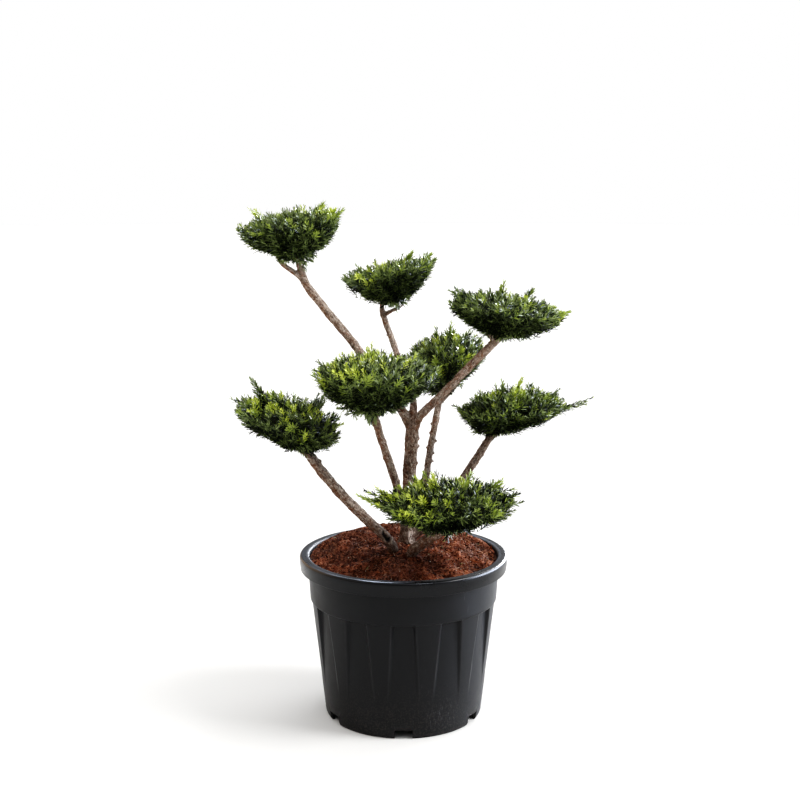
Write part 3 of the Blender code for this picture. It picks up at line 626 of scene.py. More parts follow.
coir_straw, _ = new_finish("coir_strands", "#8E6244", 0.8, 0.3)
strands = tubes(fibre_lines(340), np.linspace(0.00042, 0.00022, 5)[None], 3)
coir = make_piece("coir_fibres", *strands, [coir_straw])
hand_over(coir, "compost", "compost")

# %% [markdown]
# ## The limbs
#
# The tree has one upright trunk and eight boughs. Two of them spring straight from the compost beside it,
# three leave the trunk near its foot, and three at its top.
# The lines below are the source's own: each limb runs through a few points on a smooth curve, and tapers
# evenly from foot to tip.

# %% The lines of the limbs
Limb = namedtuple("Limb", "name foot_radius tip_radius collar axis")
TRUNK = Limb("trunk", 0.0140, 0.0125, None,
             [(0.006, -0.009, 0.3303), (0.010, -0.005, 0.400), (0.012, 0.0, 0.478), (0.017, 0.0, 0.563)])
FLARE_RADIUS = 0.0205
FLARE_HEIGHT = 0.030
BOUGHS = [
    Limb("bough_top_left", 0.0088, 0.0078, (0.016, 0.001, 0.560),
         [(-0.004, 0.006, 0.595), (-0.085, 0.018, 0.706), (-0.142, 0.025, 0.776), (-0.183, 0.030, 0.829),
          (-0.191, 0.032, 0.849)]),
    Limb("bough_top_middle", 0.0072, 0.0058, (0.018, 0.001, 0.566),
         [(0.0195, 0.008, 0.606), (0.004, 0.030, 0.651), (-0.029, 0.070, 0.739), (-0.040, 0.083, 0.769)]),
    Limb("bough_upper_right", 0.0085, 0.0074, (0.017, 0.0, 0.556),
         [(0.032, -0.007, 0.586), (0.067, -0.015, 0.621), (0.144, -0.035, 0.704), (0.172, -0.045, 0.733)]),
    Limb("bough_back_right", 0.0075, 0.0066, (0.010, -0.004, 0.345),
         [(0.022, 0.016, 0.378), (0.045, 0.050, 0.461), (0.056, 0.080, 0.520), (0.071, 0.120, 0.589)]),
    Limb("bough_front_left", 0.0080, 0.0075, (0.012, -0.005, 0.372),
         [(-0.001, -0.024, 0.402), (-0.016, -0.045, 0.469), (-0.036, -0.075, 0.536),
          (-0.051, -0.105, 0.594)]),
    Limb("bough_low_left", 0.0102, 0.0097, None,
         [(-0.018, -0.053, 0.3303), (-0.0295, -0.055, 0.356), (-0.101, -0.055, 0.427),
          (-0.152, -0.055, 0.486), (-0.178, -0.055, 0.523)]),
    Limb("bough_low_right", 0.0085, 0.0078, (0.010, -0.008, 0.343),
         [(0.033, 0.001, 0.359), (0.076, 0.012, 0.400), (0.147, 0.040, 0.501), (0.168, 0.050, 0.532)]),
    Limb("bough_low_front", 0.0118, 0.0102, None,
         [(0.013, -0.078, 0.3303), (0.021, -0.086, 0.346), (0.045, -0.110, 0.371), (0.084, -0.140, 0.408)]),
]


def smooth_line(points, steps=8):
    """Points on the Catmull-Rom curve through the given ones."""
    knots = [Vector(p) for p in points]
    ends = [2 * knots[0] - knots[1], *knots, 2 * knots[-1] - knots[-2]]
    curve = []
    for a, b, c, d in zip(ends, ends[1:], ends[2:], ends[3:]):
        for t in (i / steps for i in range(steps)):
            curve.append(0.5 * (2 * b + (c - a) * t + (2 * a - 5 * b + 4 * c - d) * t * t
                                + (3 * b - a - 3 * c + d) * t ** 3))
    return [*curve, knots[-1]]


# %% [markdown]
# Each cloud is an upturned bowl on its stem. It has a rim that waves a little, a low dome over it, and an
# underside that narrows to the foot where the stem goes in. The bough doesn't stop there: it goes on as a
# stem to the hub of the cloud, and sends one twig out sideways at a fork.

# %% The clouds
# "young" is the share of soft new shoots, and "sunny" the side where most of them are, 0 at the right and
# -90 in front. "ragged" says how deep the outline is broken, and "deep" is the share of needles that are
# painted in shade.
# A fork is where its twig ends, and how far below the bough's tip it leaves. A leader is where a long shoot
# ends, and its age: 0 old, 0.5 old with a fresh tip, 1 this year's, and 2 still soft.
Cloud = namedtuple("Cloud", "name centre radii dome roll foot fork funnel crown seed young sunny ragged deep "
                            "leaders")
CLOUDS = [
    Cloud("top_left", (-0.218, 0.035, 0.950), (0.096, 0.086), 0.014, 10.5,
          (-0.187, 0.033, 0.858), (-0.232, 0.034, 0.872, 0.013), 1.8, 4.0, 21, 0.045, 0, 0.35, 0.05,
          [(-0.288, 0.030, 0.972, 2), (-0.279, 0.030, 0.962, 2), (-0.150, 0.040, 0.981, 1),
           (-0.158, 0.030, 0.972, 0.5), (-0.116, 0.020, 0.968, 1), (-0.128, 0.025, 0.970, 2)]),
    Cloud("top_middle", (-0.026, 0.090, 0.857), (0.091, 0.081), 0.013, 11.0,
          (-0.014, 0.088, 0.774), (-0.004, 0.090, 0.784, 0.003), 1.55, 2.4, 12, 0.04, 180, 0.35, 0.03,
          [(0.017, 0.085, 0.888, 1), (0.009, 0.085, 0.879, 0.5), (0.052, 0.095, 0.882, 1),
           (0.060, 0.090, 0.872, 0)]),
    Cloud("upper_right", (0.191, -0.050, 0.796), (0.105, 0.090), 0.022, -9.0,
          (0.171, -0.047, 0.731), (0.150, -0.047, 0.757, 0.006), 1.9, 2.8, 13, 0.05, 10, 0.45, 0.18,
          [(0.182, -0.055, 0.838, 1), (0.302, -0.045, 0.784, 1), (0.292, -0.050, 0.776, 2),
           (0.084, -0.052, 0.825, 0), (0.096, -0.052, 0.828, 0), (0.236, -0.050, 0.826, 0.5)]),
    Cloud("back_right", (0.080, 0.150, 0.684), (0.088, 0.090), 0.036, 10.0,
          (0.073, 0.126, 0.590), (0.105, 0.142, 0.618, 0.004), 1.7, 3.6, 14, 0.055, -60, 0.35, 0.20,
          [(0.095, 0.150, 0.742, 1), (0.065, 0.150, 0.733, 0.5)]),
    Cloud("front_left", (-0.051, -0.130, 0.688), (0.107, 0.096), 0.028, 0.0,
          (-0.060, -0.114, 0.588), (-0.030, -0.125, 0.640, -0.006), 1.7, 4.2, 15, 0.085, -120, 0.45, 0.12,
          [(-0.057, -0.125, 0.736, 2), (-0.066, -0.125, 0.727, 2), (0.062, -0.120, 0.692, 0.5),
           (-0.160, -0.130, 0.690, 0), (-0.152, -0.130, 0.703, 0)]),
    Cloud("low_left", (-0.217, -0.055, 0.591), (0.096, 0.088), 0.040, -12.0,
          (-0.188, -0.055, 0.521), (-0.222, -0.056, 0.552, 0.0), 2.2, 3.2, 16, 0.085, -100, 0.75, 0.26,
          [(-0.282, -0.050, 0.662, 0), (-0.279, -0.055, 0.652, 0), (-0.316, -0.055, 0.624, 0),
           (-0.309, -0.055, 0.600, 0), (-0.146, -0.060, 0.634, 0), (-0.158, -0.055, 0.632, 0),
           (-0.118, -0.060, 0.592, 0), (-0.115, -0.060, 0.578, 1)]),
    Cloud("low_right", (0.216, 0.055, 0.592), (0.104, 0.086), 0.036, 2.0,
          (0.170, 0.052, 0.532), (0.213, 0.056, 0.556, 0.0), 1.5, 2.8, 17, 0.08, -20, 0.55, 0.18,
          [(0.363, 0.050, 0.609, 0.5), (0.322, 0.052, 0.592, 0), (0.232, 0.060, 0.648, 2),
           (0.190, 0.055, 0.640, 1), (0.100, 0.055, 0.592, 0), (0.300, 0.055, 0.624, 0)]),
    Cloud("low_front", (0.079, -0.160, 0.459), (0.126, 0.093), 0.038, 1.0,
          (0.078, -0.148, 0.390), (0.122, -0.165, 0.420, 0.004), 1.7, 2.2, 18, 0.10, -150, 1.0, 0.40,
          [(-0.082, -0.155, 0.466, 1), (-0.068, -0.155, 0.474, 0.5), (-0.062, -0.155, 0.455, 1),
           (-0.050, -0.160, 0.482, 2), (0.210, -0.165, 0.455, 0), (0.204, -0.165, 0.470, 0.5),
           (0.196, -0.170, 0.441, 0), (0.180, -0.170, 0.427, 0), (0.150, -0.160, 0.421, 0),
           (0.176, -0.160, 0.496, 1), (0.120, -0.155, 0.505, 1), (0.020, -0.155, 0.500, 2)]),
]
LOBE_SHARE = 0.06  # how far the rim of a cloud waves in and out, as a share of its radius
HUB_SHARE = 0.45  # how far up from the foot of a cloud to its middle the hub lies


def stem_lines(cloud):
    """The stem from the bough's tip to the hub, and the twig of its fork, as (line, radii)."""
    bough = next(limb for limb in BOUGHS if limb.name == "bough_" + cloud.name)
    before, tip = smooth_line(bough.axis)[-2:]
    along = (tip - before).normalized()
    foot, centre, fork_end = Vector(cloud.foot), Vector(cloud.centre), Vector(cloud.fork[:3])
    hub = foot.lerp(centre, HUB_SHARE)
    bend = tip.lerp(hub, 0.5) + (along * (hub - tip).length - (hub - tip)) * 0.3
    stem = smooth_line([before, tip, bend, hub, foot.lerp(centre, 0.72)], 4)
    radii = np.interp(np.linspace(0, 1, len(stem)), [0, 0.25, 0.5, 0.75, 1], [1.0, 0.97, 0.80, 0.55, 0.30])
    parting = tip - along * cloud.fork[3]
    onward = fork_end + (fork_end - parting).normalized() * 0.012 + Vector((0, 0, 0.018))
    twig = smooth_line([parting, parting.lerp(fork_end, 0.5), fork_end, onward], 5)
    twig_radii = np.interp(np.linspace(0, 1, len(twig)), [0, 0.25, 0.5, 0.75, 1],
                           [0.80, 0.70, 0.62, 0.52, 0.36])
    return (stem, list(radii * bough.tip_radius)), (twig, list(twig_radii * bough.tip_radius))


# %% [markdown]
# ### One skin of bark
#
# Where limbs meet, bark flows over in a swollen collar. Separate tubes would show hard creases there. So all
# the tubes are joined, and a voxel remesh melts them into one skin with cells of 1.6 mm. The trunk flares
# at the ground, and old pruning cuts are left: short stubs and knots, and low on the left bough a swelling
# with a hollow, where a sawn branch has rotted out.

# %% Stubs, knots and the hollow
# A stub is where it sits on its limb, from foot 0 to tip 1, its turn round it in degrees, its radius and its
# length.
STUBS = {
    "trunk": [(0.90, 180, 0.0032, 0.006), (0.84, 168, 0.0036, 0.007), (0.72, 190, 0.0028, 0.005),
              (0.59, 176, 0.0032, 0.006), (0.90, -95, 0.0030, 0.004), (0.74, -80, 0.0034, 0.004),
              (0.50, -110, 0.0030, 0.004), (0.36, 12, 0.0030, 0.005), (0.66, 20, 0.0026, 0.004)],
    "bough_top_left": [(0.24, 90, 0.0022, 0.003), (0.47, 60, 0.0024, 0.004), (0.71, 80, 0.0026, 0.004),
                       (0.90, 20, 0.0030, 0.003), (0.35, -120, 0.0020, 0.003)],
    "bough_top_middle": [(0.40, 20, 0.0020, 0.003), (0.66, -30, 0.0022, 0.004), (0.80, 150, 0.0020, 0.003)],
    "bough_upper_right": [(0.20, 60, 0.0022, 0.003), (0.58, -60, 0.0022, 0.003), (0.78, 100, 0.0024, 0.004)],
    "bough_back_right": [(0.69, 180, 0.0028, 0.007), (0.58, 172, 0.0028, 0.006), (0.50, 186, 0.0026, 0.007),
                         (0.82, 5, 0.0030, 0.006), (0.75, 14, 0.0024, 0.005), (0.62, -5, 0.0022, 0.005),
                         (0.34, 20, 0.0026, 0.004)],
    "bough_front_left": [(0.38, 170, 0.0022, 0.004), (0.60, 10, 0.0022, 0.003), (0.76, 190, 0.0024, 0.003)],
    "bough_low_left": [(0.55, -90, 0.0026, 0.003), (0.83, 175, 0.0034, 0.005), (0.42, 60, 0.0024, 0.003)],
    "bough_low_right": [(0.52, 20, 0.0024, 0.004), (0.70, 190, 0.0022, 0.003), (0.82, 0, 0.0026, 0.003)],
    "bough_low_front": [(0.55, 70, 0.0026, 0.004)],
}
HOLLOW = (-0.0315, -0.0650, 0.3665)  # where a sawn branch has rotted out, low on the left bough
HOLLOW_SIZE = (0.0070, 0.0100)  # half its width and half its length
HOLLOW_DEPTH = 0.0070
HOLLOW_LIP = 0.0020  # how far the healed lip round it stands out
HOLLOW_FRAME = np.array([(0.95, 0.0, 0.31), (-0.31, 0.0, 0.95), (0.0, 1.0, 0.0)])  # across, along, inwards
LIGHT_PATCH = (0.0165, -0.0240, 0.3560 / 2)  # where a patch of light is painted on the flare, at half the height, see the finish
SWELLING = [(-0.025, -0.055, 0.350), (-0.0295, -0.0665, 0.3590), (-0.0310, -0.0700, 0.3620)]


def all_limbs():
    """Every limb as a name, its line and its radii, from inside what it springs from to its tip."""
    made = []
    for limb in (TRUNK, *BOUGHS):
        line = smooth_line(limb.axis)
        radii = list(np.linspace(limb.foot_radius, limb.tip_radius, len(line)))
        if limb is TRUNK:
            radii = [radius + (FLARE_RADIUS - limb.foot_radius)
                     * max(0.0, 1 - (point.z - line[0].z) / FLARE_HEIGHT) ** 1.6
                     for radius, point in zip(radii, line)]
        if limb.collar:
            root = Vector(limb.collar)
            swollen = [limb.foot_radius * s for s in (1.25, 1.16, 1.06)]
            line = [root, root.lerp(line[0], 0.45), root.lerp(line[0], 0.8), *line]
            radii = [*swollen, *radii]
        else:
            deep = line[0] - (line[1] - line[0]).normalized() * 0.012
            line, radii = [deep, *line], [radii[0] * 1.08, *radii]
        made.append((limb.name, line, radii))
    return made


def stub_tubes(limbs):
    """Every stub as a short line out of its limb and its radii."""
    made = []
    for name, line, radii in limbs:
        for share, turn, radius, length in STUBS.get(name, ()):
            spot = share * (len(line) - 1)
            i = int(spot)
            centre = line[i].lerp(line[i + 1], spot - i)
            along = (line[i + 1] - line[i]).normalized()
            side = along.cross(Vector((0, 1, 0))).normalized()
            front = side.cross(along)
            out = math.cos(math.radians(turn)) * side + math.sin(math.radians(turn)) * front
            out = (out + 0.35 * along).normalized()
            stub = [centre + out * radii[i] * 0.4, centre + out * (radii[i] + length * 0.2),
                    centre + out * (radii[i] + length * 0.55)]
            made.append((stub, [radius * 1.5, radius * 1.15, radius * 0.85]))
    return made


limbs = all_limbs()
stems = [part for cloud in CLOUDS for part in stem_lines(cloud)]
swelling = ([Vector(p) for p in SWELLING], [0.0098, 0.0086, 0.0070])
every_tube = [(line, radii) for _, line, radii in limbs] + stems + stub_tubes(limbs) + [swelling]


def capped(line, radii, sides=20):
    """A closed tube, with its ends rounded off so that the remesh sees a solid."""
    start, end = Vector(line[0]), Vector(line[-1])
    first, last = (Vector(line[1]) - start).normalized(), (end - Vector(line[-2])).normalized()
    line = [start - first * radii[0] * 0.25, *line, end + last * radii[-1] * 0.25]
    radii = [radii[0] * 0.45, *radii, radii[-1] * 0.45]
    points, _ = tubes([line], [radii], sides)
    return stack_rings(points.reshape(-1, sides, 3).tolist())


# %% Melt the limbs into one skin
BARK_CELL = 0.00158
rough = make_piece("limbs_rough", *joined([capped(line, radii) for line, radii in every_tube]), [])
melt = rough.modifiers.new("melt", "REMESH")
melt.mode = "VOXEL"
melt.voxel_size = BARK_CELL
soften = rough.modifiers.new("soften", "SMOOTH")
soften.factor = 0.5
soften.iterations = 3
melted = bpy.data.meshes.new_from_object(rough.evaluated_get(bpy.context.evaluated_depsgraph_get()))
bpy.data.objects.remove(rough)
print("melted limbs:", len(melted.vertices), "points")

# %% [markdown]
# ### A place on the bark
#
# Bark flakes run along a limb, so noise in plain X, Y and Z would look wrong on a leaning one. For every
# point we find the nearest limb and note how far along it and how far round it the point lies. With those
# the limb is as if straightened, and one pattern fits the trunk and all the boughs.

# %% Straighten the limbs
LIMB_SHIFT = 0.35  # each limb starts that much further along the pattern, so that no two are alike
axis_points, axis_along, axis_way, axis_side, axis_radius = [], [], [], [], []
for index, (line, radii) in enumerate([(line, radii) for _, line, radii in limbs] + stems):
    gone = LIMB_SHIFT * index
    side = Vector((0, 1, 0))
    for i in range(len(line) - 1):
        step = line[i + 1] - line[i]
        way = step.normalized()
        side = (side - side.dot(way) * way).normalized()
        for part in range(4):
            axis_points.append(line[i].lerp(line[i + 1], part / 4))
            axis_along.append(gone + step.length * part / 4)
            axis_way.append(way.copy())
            axis_side.append(side.copy())
            axis_radius.append(mix(radii[i], radii[i + 1], part / 4))
        gone += step.length
tree = KDTree(len(axis_points))
for i, point in enumerate(axis_points):
    tree.insert(point, i)
tree.balance()

TYPICAL_RADIUS = 0.009


def bark_place(point):
    """Where a point lies on the straightened limb, across, across and along, and the limb's radius there."""
    spot, i, _ = tree.find(point)
    out = point - spot
    x, y = out.dot(axis_side[i]), out.dot(axis_side[i].cross(axis_way[i]))
    reach = max(1e-6, math.hypot(x, y))
    radius = max(0.006, axis_radius[i])
    along = axis_along[i] + out.dot(axis_way[i])
    return Vector((x / reach * radius, y / reach * radius, along)), axis_radius[i]


# %% [markdown]
# Yew bark is thin and reddish brown. It peels in narrow flakes some 6 mm wide and 15 mm long that leave
# shallow steps, with short cracks between them. The relief is made in the mesh, so that it shows on the
# outline of a limb as well.

# %% Raise the relief of the bark
def bark_height(place):
    """How far the bark stands out at a place: flakes of 5.8 by 15 mm, cracks, swellings of 30 mm and grain."""
    x, y, z = place
    wander = 0.0025 * noise.noise((x / 0.010, y / 0.010, z / 0.022))
    flake = noise.cell((x / 0.0058 + wander * 180, y / 0.0058, z / 0.0150 + wander * 60))
    crack = abs(noise.noise((x / 0.0036, y / 0.0036, z / 0.0140 + 4.0)))
    swelling = noise.noise((x / 0.030, y / 0.030, z / 0.026))
    grain = noise.noise((x / 0.0016, y / 0.0016, z / 0.0040))
    return 0.00075 * flake + 0.00110 * min(crack, 0.30) / 0.30 + 0.00080 * swelling + 0.00030 * grain - 0.00110


def per_point(mesh, field):
    """One vector for each point of a mesh: its place or its normal."""
    values = np.empty(len(mesh.vertices) * 3, np.float32)
    mesh.vertices.foreach_get(field, values)
    return values.reshape(-1, 3)


bark_points, normals = per_point(melted, "co"), per_point(melted, "normal")
places = np.empty_like(bark_points)
heights = np.empty(len(places))
for i, point in enumerate(bark_points):
    places[i], radius = bark_place(Vector(point))
    heights[i] = bark_height(places[i]) * min(1.0, radius / TYPICAL_RADIUS)
# The hollow is a dent with a lip round it, and its floor is marked so that the finish can paint it near black,
# as rot and as shade in the hollow.
across = (bark_points - HOLLOW) @ HOLLOW_FRAME.T
from_hollow = np.hypot(across[:, 0] / HOLLOW_SIZE[0], across[:, 1] / HOLLOW_SIZE[1])
faces_front = (across[:, 2] < 0.004) & (across[:, 2] > -0.020)
dent = np.clip(1.35 - from_hollow, 0, 1) * faces_front
lip = np.exp(-((from_hollow - 1.40) / 0.20) ** 2) * faces_front * np.clip(0.5 + 120 * across[:, 0], 0.15, 1)
heights += HOLLOW_LIP * lip - HOLLOW_DEPTH * dent
melted.vertices.foreach_set("co", (bark_points + normals * heights[:, None]).astype(np.float32).ravel())
mark(melted, "bark_place", places)
mark(melted, "hollow", np.clip(dent * 2.6, 0, 0.98))
mark(melted, "lip", 0.6 * lip)
melted.polygons.foreach_set("use_smooth", np.ones(len(melted.polygons), bool))
melted.update()


# %% [markdown]
# ### Yew bark
#
# Fresh bark is a warm red-brown and weathered bark a pale grey-tan, in patches; the side that faces the key
# light is painted paler as well, a painted light. The cracks between the flakes are nearly black-brown. Up
# close the surface is matt and fibrous. Colours change in patches of about 12 mm, from flake to flake, and in
# fine dark wrinkles across the limb.
#
# One ground colour is covered layer by layer, each where its pattern is strong, and low down it is painted
# darker, as shade under the clouds. After the flakes come the special places: compost that rain has splashed on
# the feet of the limbs, darkened further as painted shade, a painted patch of light on the flare of the trunk,
# the healed lip of the hollow, and its rotten floor, painted near black as shade in the hollow. The patch of
# light is twice as tall as it is wide, so it is measured with heights halved.

# %% Finish of the bark
def bark_finish():
    material, shader = new_finish("flaking_yew_bark", "#6B4C3B", 0.78, 0.05)
    add = adder(material)
    place = add("Attribute", attribute_name="bark_place").outputs["Vector"]
    stir = add("TexNoise", place, Scale=MM / 7, Detail=2.0)
    stirred = add("VectorMath", stir.outputs["Color"], (0.0035, 0.0035, 0.006), place,
                  operation="MULTIPLY_ADD")
    long_way = add("VectorMath", stirred, (1.0, 1.0, 0.55), operation="MULTIPLY")
    patches = add("TexNoise", place, Scale=MM / 12, Detail=5.0, Roughness=0.65)
    flakes = add("TexVoronoi", long_way, Scale=MM / 2.8)
    edges = add("TexVoronoi", long_way, Scale=MM / 2.8, feature="DISTANCE_TO_EDGE")
    fibres_way = add("VectorMath", place, (1.0, 1.0, 0.3), operation="MULTIPLY")
    fibres = add("TexNoise", fibres_way, Scale=MM / 2.6, Detail=6.0, Roughness=0.75)
    tone = add("SeparateColor", flakes.outputs["Color"])
    # The side that faces the key light is painted paler: a painted light, mixed with patches of weathering.
    faces = add("NewGeometry").outputs["Normal"]
    facing_the_key_light = add("VectorMath", faces, (0.66, -0.1, 0.74), operation="DOT_PRODUCT")
    patches_and_lit_side = add("Math", facing_the_key_light, 0.15, patches, operation="MULTIPLY_ADD")
    weathering_and_lit_side = add("MapRange", patches_and_lit_side, 0.38, 0.66, 0.0, 0.9)
    across = add("VectorMath", place, (1.0, 1.0, 2.2), operation="MULTIPLY")
    wrinkles = add("TexNoise", across, Scale=MM / 3.6, Detail=3.0, Roughness=0.6)
    colour = add("Mix", weathering_and_lit_side, "#95705B", "#D0C1B5", data_type="RGBA")
    for pattern, low, high, share_low, share_high, shown in (
            (tone.outputs[0], 0.50, 0.90, 0.0, 0.60, "#C7B7A9"),  # pale flakes
            (tone.outputs[1], 0.56, 0.88, 0.0, 0.52, "#452A1A"),  # dark flakes
            (edges.outputs["Distance"], 0.02, 0.15, 0.50, 0.0, "#36241A"),  # cracks between them
            (wrinkles, 0.52, 0.66, 0.0, 0.62, "#2E1E15")):
        covers = add("MapRange", pattern, low, high, share_low, share_high)
        colour = add("Mix", covers, colour, shown, data_type="RGBA")
    shade = add("MapRange", fibres, 0.3, 0.7, 0.6, 1.44)
    where = add("TexCoord").outputs["Object"]
    height = add("SeparateXYZ", where).outputs["Z"]
    # Below some 0.68 m the bark is painted darker towards the feet of the limbs: a painted shade under the
    # clouds.
    shade_low_down = add("MapRange", height, 0.48, 0.68, 0.78, 1.03)
    depth = add("Math", shade, shade_low_down, operation="MULTIPLY")
    colour = add("VectorMath", colour, depth, operation="SCALE")
    # Compost splashed on the feet of the limbs, deepened there by painted shade under the low clouds.
    uneven = add("Math", patches, 0.045, height, operation="MULTIPLY_ADD")
    splash_and_shade = add("MapRange", uneven, 0.352, 0.425, 0.55, 0.0)
    # A near-white patch on the flare of the trunk: a painted patch of light.
    upright = add("VectorMath", where, (1.0, 1.0, 0.5), operation="MULTIPLY")
    from_light_patch = add("VectorMath", upright, LIGHT_PATCH, operation="DISTANCE")
    in_light_patch = add("MapRange", from_light_patch, 0.005, 0.01, 1.0, 0.0)
    in_flakes = add("MapRange", tone.outputs[1], 0.4, 0.75, 1.0, 0.1)
    painted_light_patch = add("Math", in_light_patch, in_flakes, operation="MULTIPLY")
    healed = add("Attribute", attribute_name="lip").outputs["Fac"]
    # The floor of the hollow is painted near black: dark rot and painted shade in the hollow.
    rot_and_hollow_shade = add("Attribute", attribute_name="hollow").outputs["Fac"]
    for covers, shown in ((splash_and_shade, "#42291A"), (painted_light_patch, "#FFEEE4"), (healed, "#C4B6A8"), (rot_and_hollow_shade, "#0C0806")):
        colour = add("Mix", covers, colour, shown, data_type="RGBA")
    plug(shader.inputs["Base Color"], colour)
    steps = add("Bump", Height=edges.outputs["Distance"], Strength=0.9, Distance=0.002)
    bump = add("Bump", Height=fibres, Strength=0.8, Distance=0.001, Normal=steps)
    plug(shader.inputs["Normal"], bump)
    return material


melted.materials.append(bark_finish())
bark = show("bark_of_trunk_and_boughs", melted)
hand_over(bark, "bark", "trunk", *(limb.name for limb in BOUGHS))


# %% [markdown]
# ## The clouds
#
# The source's rule for a cloud: shoots stand evenly over the clipped outline by the golden angle. The upper
# ones spread from a point low in the cloud, so that they turn up, and the lower ones from a point high in
# it, so that they droop over the foot. The same rule is carried further here, from stem to twigs, from twigs
# to shoots, and from each shoot to its needles.

# %% The clipped outline
def outline(cloud, turn, level):
    """Points of the clipped outline, at a turn round the cloud and a level: -1 foot, 0 rim, 1 top."""
    tilt = np.array(Matrix.Rotation(-math.radians(cloud.roll), 3, "Y"))
    foot = (np.array(cloud.foot) - cloud.centre) @ tilt
    wave = 1 + LOBE_SHARE * np.sin(3 * turn + cloud.seed) * np.cos(2 * turn)
    rim = np.stack([cloud.radii[0] * wave * np.cos(turn), cloud.radii[1] * wave * np.sin(turn), 0 * turn], -1)
    inward = 1 - np.clip(level, 0, 1)[:, None]
    drop = np.clip(-level, 0, 1)[:, None]
    top = rim * inward + np.array([0, 0, cloud.dome]) * (1 - inward ** cloud.crown)
    under = rim * (1 - drop ** cloud.funnel) + foot * drop
    return np.array(cloud.centre) + np.where(level[:, None] >= 0, top, under) @ tilt.T


TOP_SHARE = 0.46  # how many of the shoots stand on the top
DROPS = np.linspace(0, 1, 60)
BELOW = np.cumsum(1.10 - DROPS ** 2)  # how much of the underside lies above each drop


def spread(count, start):
    """(turn, level) of evenly spread points, from the top to near the foot."""
    share = (np.arange(count) + start) / count
    upper = 1 - np.sqrt(np.clip(share / TOP_SHARE, 0, 1))
    below = np.interp((share - TOP_SHARE) / (1 - TOP_SHARE), (BELOW - BELOW[0]) / (BELOW[-1] - BELOW[0]), DROPS)
    return np.arange(count) * GOLDEN, np.where(share < TOP_SHARE, upper, -below)


def spreads_from(cloud, level):
    """Where shoots of a level spread from, up the line from the cloud's foot to its middle."""
    share = mix(0.20, 0.62, np.clip(-level, 0, 1))[:, None]
    return mix(np.array(cloud.foot), np.array(cloud.centre), share)


# %% [markdown]
# ### Twigs
#
# From the stem and its fork, sixteen main twigs reach out through the cloud, and some seventy side twigs
# leave them. Every shoot then starts at the nearest point of a side twig, so that nothing hangs loose.

# %% Grow the twigs of a cloud
MAIN_TWIGS, SIDE_TWIGS = 16, 72
MAIN_DEPTH = 0.046  # how far under the outline the main twigs end
SIDE_DEPTH = (0.026, 0.036)


def curve_between(start, end, sag):
    """Lines of six points from start to end, bowed by sag at the middle."""
    share = np.linspace(0, 1, 6)[None, :, None]
    line = start[:, None] * (1 - share) + end[:, None] * share
    return line + sag[:, None] * (4 * share * (1 - share))


def nearest(points, targets, hub):
    """For each point the nearest target, where one that lies as far from the hub as the point counts as far."""
    away = np.linalg.norm(points[:, None] - targets[None], axis=-1)
    reach, target_reach = (np.linalg.norm(ends - hub, axis=1) for ends in (points, targets))
    return np.argmin(away + 0.10 * (target_reach[None] > reach[:, None] - 0.004), axis=1)


def grow_twigs(cloud, rng):
    """The lines of the main and side twigs, all the points that a shoot may start from, and the hub."""
    (stem, _), (fork, _) = stem_lines(cloud)
    hub = np.array(cloud.foot) * (1 - HUB_SHARE) + np.array(cloud.centre) * HUB_SHARE
    carriers = np.array([tuple(p) for p in [*stem[6:], *fork[4:]]])
    turn, level = spread(MAIN_TWIGS, 0.3)
    surface = outline(cloud, turn, level)
    depth = MAIN_DEPTH / np.linalg.norm(hub - surface, axis=1)
    ends = surface + (hub - surface) * np.clip(depth, 0, 0.8)[:, None]
    away = np.linalg.norm(ends[:, None] - carriers[None], axis=-1)
    starts = carriers[np.argmin(away, axis=1)]
    main = curve_between(starts, ends, np.array([0, 0, -0.004]) + rng.normal(0, 0.002, ends.shape))
    targets = np.vstack([main[:, 1:].reshape(-1, 3), carriers])
    turn, level = spread(SIDE_TWIGS, 0.7)
    surface = outline(cloud, turn + 1.1, level)
    depth = rng.uniform(*SIDE_DEPTH, SIDE_TWIGS) / np.linalg.norm(hub - surface, axis=1)
    ends = surface + (hub - surface) * np.clip(depth, 0, 0.7)[:, None] + rng.normal(0, 0.003, surface.shape)
    chosen = nearest(ends, targets, hub)
    side = curve_between(targets[chosen], ends, np.array([0, 0, -0.003]) + rng.normal(0, 0.002, ends.shape))
    landing = np.vstack([targets, side[:, 1:].reshape(-1, 3)])
    return main, side, landing, hub


# %% [markdown]
# ### Shoots and needles
#
# A yew needle is flat, with parallel sides and a short point. On a plant that is clipped every year most are
# some 15 mm long and 2 mm wide. Four triangles give that outline. On a shoot the needles stand round the twig
# in a spiral, turned a little into two ranks. They lean forward more and more towards the tip, and the
# youngest at the tip are short.

# %% Clothe shoots with needles
NEEDLE = 0.0150
NEEDLE_WIDTH = 0.0019
NEEDLE_TURN = 2.39996  # from one needle to the next round the shoot, in radians
SOFT_LENGTH, SOFT_WIDTH = 0.72, 0.85  # of a soft young needle, beside a grown one
NEEDLE_FACES = np.array([(0, 2, 1), (1, 2, 4), (1, 4, 3), (3, 4, 5)])


def on_curve(root, middle, tip, t):
    """Points of the curves from root over middle to tip, and their directions, at each t."""
    t = t[..., None]
    point = (1 - t) ** 2 * root + 2 * t * (1 - t) * middle + t ** 2 * tip
    return point, unit(2 * (1 - t) * (middle - root) + 2 * t * (tip - middle))


